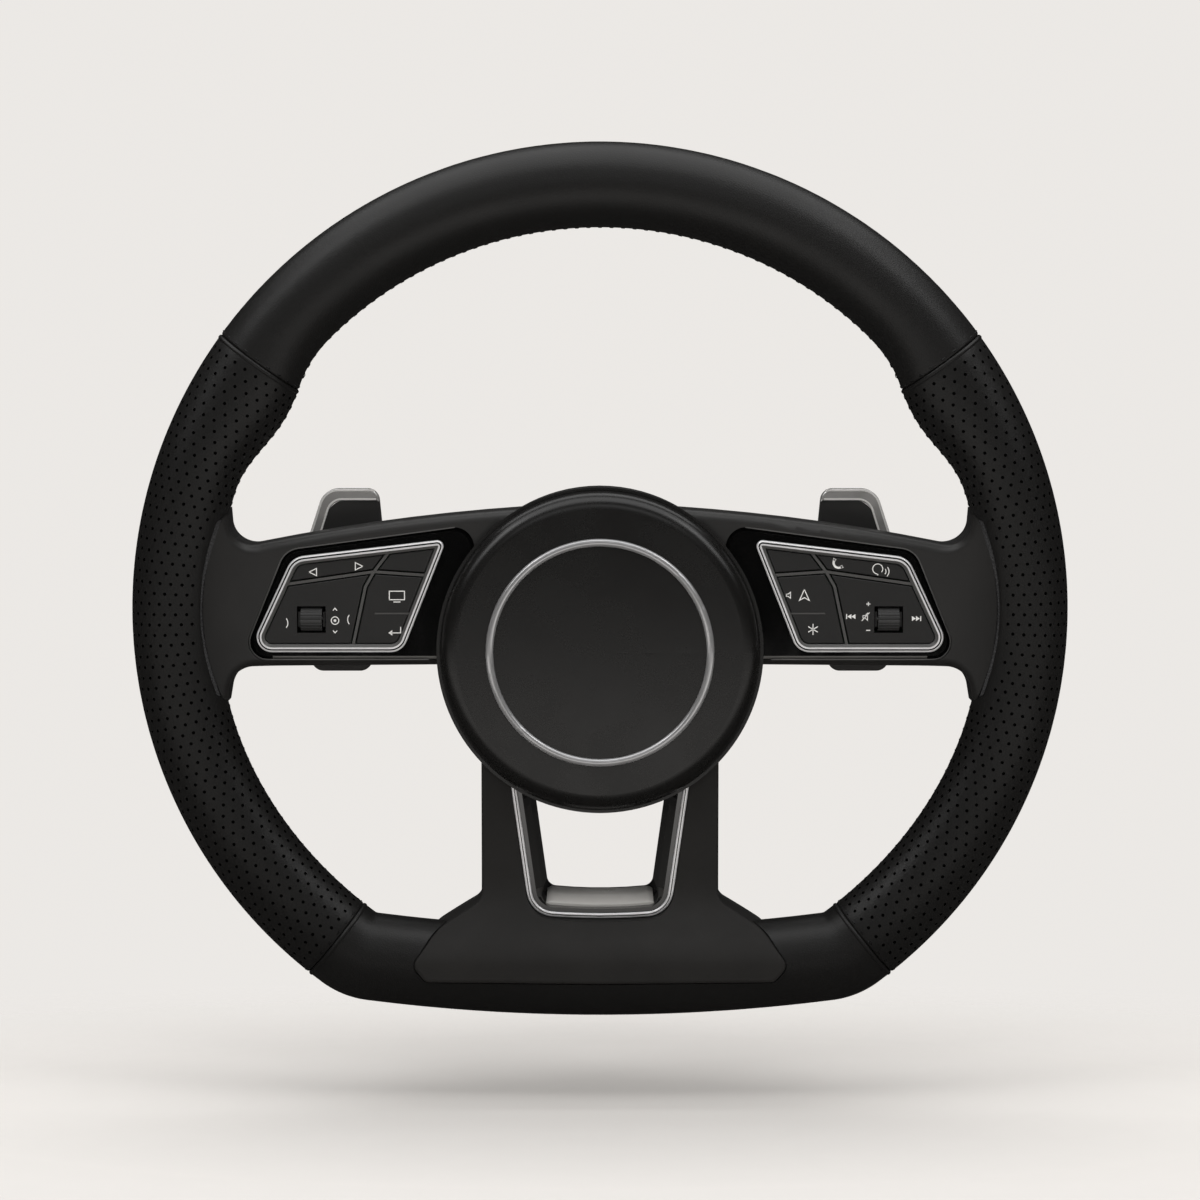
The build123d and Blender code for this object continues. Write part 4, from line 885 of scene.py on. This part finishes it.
def arrowhead(ink, side):
    """Outlined triangle pointing left or right."""
    ink.bar((side * 1.65, 0), (-side * 1.3, 1.45), (-side * 1.3, -1.45), (side * 1.65, 0))


def screen(ink):
    """Display with a stand."""
    ink.bar((-3, -1.3), (-3, 2.1), (3, 2.1), (3, -1.3), (-3.18, -1.3))
    ink.bar((-1.4, -2.2), (1.4, -2.2))


def back_arrow(ink):
    """Bent arrow that leads back."""
    ink.bar((2.2, 1.8), (2.2, -0.6), (-1.6, -0.6))
    ink.shape((-2.7, -0.6), (-1.1, 0.5), (-1.1, -1.7))


def bracket_arc(ink, side):
    """Short arc that marks a side of the roller."""
    turn = 90 - side * 90
    ink.arc(-side * 2.2, 0, 3.0, turn - 38, turn + 38)


def caret(ink, side):
    """Small mark above or below a place."""
    ink.bar((-0.8, -side * 0.4), (0, side * 0.5), (0.8, -side * 0.4))


def confirm(ink):
    """Ring with a dot."""
    ink.arc(0, 0, 1.5, 0, 360)
    ink.dot(0, 0, 0.55)


def handset(ink):
    """Telephone receiver."""
    ink.arc(0.5, 0.5, 2.0, 135, 315, width=0.85)
    ink.shape((-1.5, 2.5), (-0.4, 1.8), (-0.8, 1.05), (-1.7, 1.5))
    ink.shape((2.5, -1.5), (1.8, -0.4), (1.05, -0.8), (1.5, -1.7))


def voice(ink):
    """Speaking head shown as a ring with sound waves."""
    ink.arc(-1.2, 0.2, 2.0, -40, 265)
    ink.bar((-1.2, -1.8), (-1.2, -2.4))
    ink.arc(0.6, -0.8, 1.5, -45, 40)
    ink.arc(0.6, -0.8, 2.7, -45, 40)


def loudspeaker(ink, back, neck, mouth, width):
    """Outline of a loudspeaker."""
    upper = [(back, neck), (-0.2, neck), (0.7, mouth)]
    lower = [(0.7, -mouth), (-0.2, -neck), (back, -neck), (back, neck + 0.15)]
    ink.bar(*upper, *lower, width=width)


def speaker(ink):
    """Small loudspeaker."""
    loudspeaker(ink, -0.9, 0.45, 1.2, 0.32)


def pointer(ink):
    """Direction pointer."""
    ink.bar((0, 2.3), (1.9, -2.0), (0, -1.0), (-1.9, -2.0), (0, 2.3))


def star(ink):
    """Six short rays."""
    for turn in (90, 30, 150):
        side, up = cos(radians(turn)) * 2.2, sin(radians(turn)) * 2.2
        ink.bar((-side, -up), (side, up))


def skip(ink, side):
    """Two triangles and a bar."""
    ink.shape((-side * 1.7, 1.0), (-side * 1.7, -1.0), (-side * 0.1, 0))
    ink.shape((-side * 0.1, 1.0), (-side * 0.1, -1.0), (side * 1.5, 0))
    ink.bar((side * 1.8, 1.0), (side * 1.8, -1.0), width=0.4)


def minus(ink):
    ink.bar((-0.8, 0), (0.8, 0), width=0.4)


def plus(ink):
    minus(ink)
    ink.bar((0, -0.8), (0, 0.8), width=0.4)


def mute(ink):
    """Crossed-out loudspeaker."""
    loudspeaker(ink, -1.1, 0.5, 1.4, 0.3)
    ink.bar((-1.6, -1.6), (1.5, 1.7), width=0.35)


# Pictograms by side and key: place in millimetres, drawing, and its sign where it has one
PRINTS = {
    ("left", "tab"): [((-113.6, 15.9), arrowhead, -1), ((-95.6, 18.2), arrowhead, 1)],
    ("left", "view"): [((-80.5, 6.2), screen), ((-81.3, -7.7), back_arrow)],
    ("left", "selector"): [
        ((-124.6, -4.4), bracket_arc, 1),
        ((-99.3, -3.0), bracket_arc, -1),
        ((-105.1, -3.4), confirm),
        ((-105.1, 1.0), caret, 1),
        ((-105.1, -7.8), caret, -1),
    ],
    ("right", "tab"): [((94.0, 19.1), handset), ((111.2, 16.95), voice)],
    ("right", "view"): [((74.8, 6.7), speaker), ((81.0, 6.7), pointer), ((84.5, -6.9), star)],
    ("right", "selector"): [
        ((99.6, -1.8), skip, -1),
        ((125.4, -2.6), skip, 1),
        ((106.4, 3.2), plus),
        ((105.4, -1.9), mute),
        ((106.4, -7.3), minus),
    ],
}
PRINT_STROKE = 0.37
PRINT_DEPTH = 0.06 * MM

# Line across a view key, light grey as a painted highlight, in millimetres, with its width, sinking and
# thickness
VIEW_LINE = [(75.1, -0.6), (89.4, -0.6)]
VIEW_LINE_WIDTH = 0.6
VIEW_LINE_SUNK = 0.45 * MM
VIEW_LINE_DEPTH = 0.4 * MM

# Outline of a gloss panel outside the hub, in millimetres, with the rounding of its corners
GLOSS_CORNERS = [(57.5, 33.6), (124.8, 24.6), (142.6, -19.0), (68.0, -19.0)]
GLOSS_ROUNDS = (9.0, 7.0)

# Edge of a gloss panel, grey as a painted highlight: width, sinking, thickness and rounding; size and reach
# of its lower slope, grey as a painted reflection
GLOSS_EDGE_WIDTH = 0.45
GLOSS_EDGE_SUNK = 0.1 * MM
GLOSS_EDGE_DEPTH = 0.4 * MM
GLOSS_EDGE_ROUND = 0.15 * MM
GLOSS_CHAMFER = 1.4
GLOSS_LOWER_REACH = (62.5, 130.0)

# Painted highlights along the outer and inner edge of a paddle's cap, in millimetres, with the rounding of
# its corner
CAP_EDGES = [
    ([(91.0, 46.9), (110.9, 46.9), (120.4, 17.6)], 7.4),
    ([(90.4, 43.3), (108.6, 43.3), (116.8, 17.6)], 6.0),
]
CAP_EDGE_WIDTH = 0.8
CAP_EDGE_DEPTH = 0.12 * MM

# Outline of a pod's frame, in millimetres: rounding of its corners, widths of crown, slope and the dark
# line of painted shade along the crown
POD_CORNERS = [(60.6, 29.0), (121.9, 21.8), (139.7, -16.0), (78.4, -16.0)]
POD_ROUNDS = (2.5, 8.0, 6.0, 7.0)
POD_BEAD = 2.0
POD_SLOPE = 1.1
POD_SHADE_LINE = 0.55

# Middle of the window's bright strip from the hub to the centre, in millimetres, and the width of the dark
# line of painted shade along it
STRIP_CORNERS = [(34.2, -70.8), (27.1, -120.65), (13.0, -121.63), (0.0, -121.95)]
STRIP_ROUNDS = (10.0, 40.0, 40.0)
STRIP_SHADE_LINE = 0.5

# Ledge in the bottom of the window: section in depth and height, radius of its bow and half its arc
LEDGE_SECTION = [
    (31.2, -113.9),
    (39.0, -115.5),
    (46.0, -118.0),
    (46.0, -119.0),
    (38.6, -118.5),
    (31.2, -114.35),
]
LEDGE_BOW = 195.0
LEDGE_REACH = 6.2
LEDGE_STEPS = 16

# Lamps of the studio: name, place and size in metres, and power in watts
LAMPS = [
    ("overhead_softbox", (0, -0.15, 1.4), (2.6, 1.9), 27.0),
    ("front_softbox", (0, -1.6, 0.7), (1.2, 0.5), 1.5),
    ("left_softbox", (-1.25, -0.9, 1.15), (0.6, 0.8), 3.6),
    ("right_softbox", (1.25, -0.9, 1.15), (0.6, 0.8), 3.6),
]

# Floor: middle and stretch of its pool of shadow, fade at its edge, and what mirrors see of it: a glow in
# front that is a painted reflection, and painted shade elsewhere
FLOOR_SIDES = 96
FLOOR_MIDDLE = 0.06
FLOOR_STRETCH = 5
FLOOR_FADE = (0.28, 0.55)
FLOOR_FRONT = (0.15, 0.3)
FLOOR_PAINTED_MIRROR_SHADE = 0.05
FLOOR_PAINTED_MIRROR_GLOW = 1.3

# Room: light from all round, what mirrors see of it, and where the brighter part behind the wheel begins
ROOM_LIGHT = 0.4
ROOM_MIRRORED = 0.012
ROOM_BEHIND = (0.45, 0.62)


class WHEEL_OT_leather(Operator):
    """Cover the rim: smooth panels, and perforated grips in place of the plain ones"""

    bl_idname = "wheel.leather"
    bl_label = "Leather"

    def execute(self, context):
        sizes, colours = context.scene.wheel_rim, context.scene.wheel_colours
        leather = leather_finish("rim_leather", colours.leather)
        hole = hole_finish("perforation_painted_shade", colours.hole)
        dress(["top_leather", "bottom_leather"] + both("grip_leather"), leather)
        for side, sign in SIDES.items():
            bm = grip_mesh(sizes) if sign > 0 else mirrored(grip_mesh(sizes))
            grip = link_piece(bm, f"{side}_perforated_grip", "wheel", [leather, hole])
            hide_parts(f"{side}_grip_leather")
        return {"FINISHED"}


class WHEEL_OT_stitching(Operator):
    """Sew the rim: lacing along its inner edge and stitches beside the seams"""

    bl_idname = "wheel.stitching"
    bl_label = "Stitching"

    def execute(self, context):
        sizes = context.scene.wheel_rim
        thread = thread_finish("sewing_thread", context.scene.wheel_colours.thread)
        leather = bpy.data.materials["rim_leather"]
        link_piece(lacing_mesh(sizes), "inner_edge_lacing", "wheel", [thread])
        stitches, welts = seam_meshes(sizes)
        link_piece(stitches, "seam_stitches", "wheel", [thread])
        link_piece(welts, "seam_welts", "wheel", [leather])
        return {"FINISHED"}


class WHEEL_OT_trims(Operator):
    """Finish the spokes: satin trims, gloss surrounds, window lining and its bright strip"""

    bl_idname = "wheel.trims"
    bl_label = "Spoke trims"

    def execute(self, context):
        colours = context.scene.wheel_colours
        dress(both("spoke_trim"), moulded_finish("satin_trim_black", colours.trim, 0.44, 1700.0, 0.12))
        matt = moulded_finish("matt_trim_black", solid(colours.trim, 1.15), 0.6, 1700.0, 0.12, 0.15)
        dress(["lower_spoke_trim"], matt)
        dress(["rear_cover"], moulded_finish("rear_moulding", solid(colours.trim, 0.85), 0.58, 1300.0, 0.3))
        gloss = gloss_finish("piano_black", colours.gloss)
        dress(both("gloss_panel") + ["lower_gloss_liner"], gloss)
        plating = bright_finish("satin_plating", solid(colours.chrome, 1.25), 0.16, 0.3)
        dress(["lower_chrome_trim"] + both("pod_frame"), plating)
        # Grey lining: painted shade on the pod frames, painted highlight on the gloss edges
        lining = moulded_finish("frame_lining_painted_shade_and_highlight", colours.lining, 0.3, 2400.0, 0.04)
        # Grey strip on the gloss panels' lower slopes: a painted reflection
        lower = moulded_finish("lower_edge_painted_reflection", colours.lower_edge, 0.3, 2400.0, 0.04)
        for side, sign in SIDES.items():
            self.gloss_edges(side, sign, lining, lower)
        # Ledge in light grey: a painted reflection
        self.window(gloss, moulded_finish("ledge_painted_reflection", colours.ledge, 0.3, 2400.0, 0.03))
        for side, sign in SIDES.items():
            self.frame_lines(side, sign, gloss, lining)
        return {"FINISHED"}

    def gloss_edges(self, side, sign, lining, lower):
        """Rounded edge of a gloss panel, grey as a painted highlight, and the slope below it, grey as a
        painted reflection.
        """
        front = -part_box(f"{side}_gloss_panel")[0].y
        edge = Inlay(front - GLOSS_EDGE_SUNK, GLOSS_EDGE_WIDTH)
        edge.bar(*rounded([(sign * x, z) for x, z in GLOSS_CORNERS], GLOSS_ROUNDS))
        bm = edge.thicken(GLOSS_EDGE_DEPTH)
        level = -front - GLOSS_EDGE_DEPTH / 2
        crown = [e for e in bm.edges if all(vert.co.y < level for vert in e.verts)]
        bmesh.ops.bevel(
            bm, geom=crown, offset=GLOSS_EDGE_ROUND, affect="EDGES", segments=3, profile=0.5, material=-1
        )
        # Grey lining on the edge: a painted highlight
        link_piece(bm, f"{side}_gloss_painted_highlight_edge", "wheel", [lining])
        # Thin grey sheet over the lower slope: a painted reflection
        slope = Inlay(front - SUNK, GLOSS_CHAMFER)
        down = Vector((0, GLOSS_CHAMFER * MM, -GLOSS_CHAMFER * MM))
        height = GLOSS_CORNERS[-1][1] + GLOSS_CHAMFER
        upper = [slope.at(sign * x, height) for x in GLOSS_LOWER_REACH]
        slope.ribbon([(place, place + down) for place in upper])
        slope.piece(FILM, f"{side}_gloss_lower_painted_reflection", "wheel", "gloss_black", lower)

    def window(self, gloss, satin):
        """Ledge of the lower window, light grey as a painted reflection, and a dark line of painted shade
        along its bright strip.
        """
        ledge = window_ledge(LEDGE_SECTION, LEDGE_BOW * MM, radians(LEDGE_REACH))
        link_piece(ledge, "window_ledge", "wheel", [satin])
        # Dark line of painted shade along the bright strip
        painted_shade_line = Inlay(-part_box("lower_chrome_trim")[0].y - SUNK, STRIP_SHADE_LINE)
        left = [(-x, z) for x, z in STRIP_CORNERS[-2::-1]]
        painted_shade_line.bar(*rounded(STRIP_CORNERS + left, STRIP_ROUNDS + STRIP_ROUNDS[-2::-1]))
        painted_shade_line.piece(FILM, "window_strip_groove", "wheel", "gloss_black", gloss)

    def frame_lines(self, side, sign, gloss, lining):
        """Dark line of painted shade along a pod frame's crown, and the lining of its inner slope, painted
        shade over the plating.
        """
        crown = -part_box(f"{side}_pod_frame")[0].y - SUNK
        painted_shade_line = Inlay(crown, POD_SHADE_LINE)
        painted_shade_line.bar(*frame_loop(sign, POD_BEAD / 2))
        painted_shade_line.piece(FILM, f"{side}_frame_groove", "wheel", "gloss_black", gloss)
        # Grey sheet over the frame's inner slope: painted shade
        slope = Inlay(crown, POD_SLOPE)
        down = Vector((0, POD_SLOPE * MM, 0))
        outer = [slope.at(*point) for point in frame_loop(sign, POD_BEAD)]
        inner = [slope.at(*point) + down for point in frame_loop(sign, POD_BEAD + POD_SLOPE)]
        slope.ribbon(zip(outer, inner))
        slope.piece(FILM, f"{side}_frame_lining_painted_shade_and_highlight", "wheel", "gloss_black", lining)


class WHEEL_OT_hub(Operator):
    """Finish the airbag module: soft cover, bright ring and the parts inside"""

    bl_idname = "wheel.hub"
    bl_label = "Airbag module"

    def execute(self, context):
        colours = context.scene.wheel_colours
        dress(["airbag_cover"], moulded_finish("soft_cover", colours.cover, 0.27, 1500.0, 0.04))
        dress(["cover_ring"], bright_finish("ring_plating", solid(colours.chrome, 0.68), 0.16, 0.6))
        dress(["airbag_cushion"], cloth_finish("folded_cushion", colours.cushion))
        dress(["airbag_carrier"], cast_finish("carrier_casting", colours.carrier))
        dress(["horn_buffers"], moulded_finish("buffer_rubber", colours.rubber, 0.7, 900.0, 0.3))
        return {"FINISHED"}


class WHEEL_OT_pods(Operator):
    """Finish the switch pods: keys, rollers and white pictograms"""

    bl_idname = "wheel.pods"
    bl_label = "Switch pods"

    def execute(self, context):
        colours = context.scene.wheel_colours
        keys = moulded_finish("key_plastic", colours.key, 0.4, 2600.0, 0.08)
        dress(both("tab_key", "blank_key", "view_key", "selector_key", "roller_cradle"), keys)
        # Light grey dividers and view lines: painted highlights along the key edges
        divider = moulded_finish("divider_painted_highlight", colours.divider, 0.36, 2400.0, 0.06)
        dress(both("key_divider"), divider)
        for side, sign in SIDES.items():
            line = Inlay(-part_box(f"{side}_view_key")[0].y - VIEW_LINE_SUNK, VIEW_LINE_WIDTH)
            line.bar(*[(sign * x, z) for x, z in VIEW_LINE])
            line.piece(VIEW_LINE_DEPTH, f"{side}_view_line", f"{side}_view", "key_black", divider)
        dress(both("roller"), moulded_finish("roller_grip", colours.roller, 0.33, 2200.0, 0.1))
        dress(both("pod_housing"), moulded_finish("pod_tray", colours.tray, 0.6, 1400.0, 0.3))
        dress(both("pod_board"), board_finish("switch_board", colours.board))
        white = print_finish("key_print", colours.print_white)
        for (side, key), marks in PRINTS.items():
            front = -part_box(f"{side}_{key}_key")[0].y
            ink = Inlay(front - SUNK, PRINT_STROKE)
            for place, draw, *sign in marks:
                ink.centre = place
                draw(ink, *sign)
            ink.piece(PRINT_DEPTH, f"{side}_{key}_print", f"{side}_{key}", "key_black", white)
        return {"FINISHED"}


class WHEEL_OT_paddles(Operator):
    """Finish the shift paddles and the skeleton, hub and fixings behind them"""

    bl_idname = "wheel.paddles"
    bl_label = "Paddles and skeleton"

    def execute(self, context):
        colours = context.scene.wheel_colours
        dress(both("paddle"), moulded_finish("paddle_black", colours.paddle, 0.46, 2000.0, 0.08))
        dress(both("paddle_cap"), bright_finish("cap_aluminium", solid(colours.cap, 0.7), 0.2, 0.6))
        # White strips on the cap edges: painted highlights
        cap_highlight_finish = bright_finish("cap_edge_painted_highlight", colours.cap, 0.12, 0.0)
        for side, sign in SIDES.items():
            edges = Inlay(-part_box(f"{side}_paddle_cap")[0].y - SUNK, CAP_EDGE_WIDTH)
            for corners, corner_round in CAP_EDGES:
                edges.bar(*rounded([(sign * x, z) for x, z in corners], [corner_round]))
            body = f"{side}_shift_paddle"
            edges.piece(CAP_EDGE_DEPTH, f"{side}_cap_painted_highlight_edges", body, "cap_aluminium", cap_highlight_finish)
        dress(["armature"] + both("paddle_bracket"), cast_finish("cast_skeleton", colours.skeleton))
        steel = brushed_finish("turned_steel", colours.steel, 0.3, (1, 0.05, 1))
        dress(["hub_insert", "rear_cover_screws", "gas_generator", "generator_nuts", "horn_pins"], steel)
        dress(both("paddle_pin", "roller_axle"), steel)
        dress(["rim_foam"], foam_finish("rim_foam_grey", colours.foam))
        return {"FINISHED"}


class WHEEL_OT_studio(Operator):
    """Set up the pale studio: floor, soft light and the camera"""

    bl_idname = "wheel.studio"
    bl_label = "Studio"

    def execute(self, context):
        scene = context.scene
        studio = scene.wheel_studio
        scene.view_settings.view_transform = "Standard"
        self.floor(scene, studio)
        self.world(scene, studio)
        middle = Vector((0, -scene.wheel_rim.rim_plane, 0))
        for name, place, size, power in LAMPS:
            light = bpy.data.lights.new(name, "AREA")
            light.shape = "RECTANGLE"
            light.size, light.size_y = size
            light.energy = power
            lamp = bpy.data.objects.new(name, light)
            lamp.location = place
            lamp.rotation_euler = (middle - Vector(place)).to_track_quat("-Z", "Y").to_euler()
            scene.collection.objects.link(lamp)
        camera = bpy.data.cameras.new("photo_camera")
        camera.lens = studio.lens
        camera.sensor_width = 36.0
        camera.clip_start = 0.01
        eye = bpy.data.objects.new("photo_camera", camera)
        target = middle + Vector((0, 0, studio.target_rise))
        back = Vector((0, -cos(studio.elevation), sin(studio.elevation)))
        eye.location = target + back * studio.distance
        eye.rotation_euler = (-back).to_track_quat("-Z", "Y").to_euler()
        scene.collection.objects.link(eye)
        scene.camera = eye
        return {"FINISHED"}

    def floor(self, scene, studio):
        """Round floor whose edge fades into the background; mirrors see it darkened with painted shade, and
        glowing in front with a painted reflection.
        """
        bm = bmesh.new()
        place = Matrix.Translation((0, 0, studio.floor_height))
        bmesh.ops.create_circle(
            bm, cap_ends=True, segments=FLOOR_SIDES, radius=studio.floor_radius, matrix=place
        )
        mesh = bpy.data.meshes.new("studio_floor")
        bm.to_mesh(mesh)
        bm.free()
        floor = bpy.data.objects.new("studio_floor", mesh)
        scene.collection.objects.link(floor)
        finish = new_finish("floor_paper")
        place = finish.place()
        across = finish.axis(place, "X")
        deep = finish.axis(place, "Y") + FLOOR_MIDDLE
        away = (across * across + deep * deep * FLOOR_STRETCH) ** 0.5
        fade = finish.ramp(away, *FLOOR_FADE) * finish.ray("Is Camera Ray")
        fibre = finish.noise(place, 60.0, 4.0)
        colour = finish.mix(fibre, solid(studio.backdrop, 0.985), solid(studio.backdrop, 1.01))
        mirrored_ray = finish.ray("Is Glossy Ray")
        front = finish.ramp(deep * -0.5, *FLOOR_FRONT)
        # Painted shade: mirrors see the floor darkened, except in front
        colour = finish.mix(mirrored_ray * (1 - front), colour, solid(studio.backdrop, FLOOR_PAINTED_MIRROR_SHADE))
        paper = finish.node("ShaderNodeBsdfDiffuse", {}, {"Color": colour})
        # Painted reflection: in front, mirrors see the floor glow though it is no lamp
        inputs = {"Color": solid(studio.backdrop), "Strength": FLOOR_PAINTED_MIRROR_GLOW}
        painted_reflection_glow = finish.node("ShaderNodeEmission", {}, inputs)
        lit = finish.node("ShaderNodeMixShader", {}, {0: mirrored_ray * front, 1: paper, 2: painted_reflection_glow})
        clear = finish.node("ShaderNodeBsdfTransparent", {}, {})
        sheet = finish.node("ShaderNodeMixShader", {}, {0: fade, 1: lit, 2: clear})
        finish.node("ShaderNodeOutputMaterial", {}, {"Surface": sheet})
        mesh.materials.append(finish.owner)

    def world(self, scene, studio):
        """Pale backdrop for the camera and behind the wheel, and a dim room for the rest."""
        scene.world = bpy.data.worlds.new("studio")
        finish = Finish(scene.world)
        seen = finish.ray("Is Camera Ray")
        mirrored_ray = finish.ray("Is Glossy Ray") + finish.ray("Is Transmission Ray")
        direction = finish.node("ShaderNodeTexCoord", {}, {}, output="Generated")
        behind = finish.ramp(finish.axis(direction, "Y") * 0.5 + 0.5, *ROOM_BEHIND)
        reflected = mirrored_ray * (ROOM_MIRRORED + behind * ROOM_MIRRORED)
        dim = ROOM_LIGHT * (1 - seen) * (1 - mirrored_ray)
        strength = seen + (1 - seen) * reflected + dim
        inputs = {"Color": solid(studio.backdrop), "Strength": strength}
        shade = finish.node("ShaderNodeBackground", {}, inputs)
        finish.node("ShaderNodeOutputWorld", {}, {"Surface": shade})


class WHEEL_PT_panel(Panel):
    """Sizes, colours and steps of the wheel"""

    bl_idname = "WHEEL_PT_panel"
    bl_label = "Steering wheel"
    bl_space_type = "VIEW_3D"
    bl_region_type = "UI"
    bl_category = "Wheel"

    def draw(self, context):
        for group in (getattr(context.scene, name) for name in GROUPS):
            box = self.layout.box()
            for name in group.bl_rna.properties.keys():
                if name not in {"rna_type", "name"}:
                    box.prop(group, name)
        for step in STEPS:
            self.layout.operator(step.bl_idname)


STEPS = (
    WHEEL_OT_leather,
    WHEEL_OT_stitching,
    WHEEL_OT_trims,
    WHEEL_OT_hub,
    WHEEL_OT_pods,
    WHEEL_OT_paddles,
    WHEEL_OT_studio,
)
GROUPS = {"wheel_rim": RimSizes, "wheel_colours": WheelColours, "wheel_studio": StudioSettings}
CLASSES = (*GROUPS.values(), *STEPS, WHEEL_PT_panel)


def register():
    for cls in CLASSES:
        bpy.utils.register_class(cls)
    for name, group in GROUPS.items():
        setattr(bpy.types.Scene, name, PointerProperty(type=group))


def unregister():
    for name in GROUPS:
        delattr(bpy.types.Scene, name)
    for cls in reversed(CLASSES):
        bpy.utils.unregister_class(cls)


def main():
    register()
    bpy.ops.wheel.leather()
    bpy.ops.wheel.stitching()
    bpy.ops.wheel.trims()
    bpy.ops.wheel.hub()
    bpy.ops.wheel.pods()
    bpy.ops.wheel.paddles()
    bpy.ops.wheel.studio()


if __name__ == "__main__":
    main()
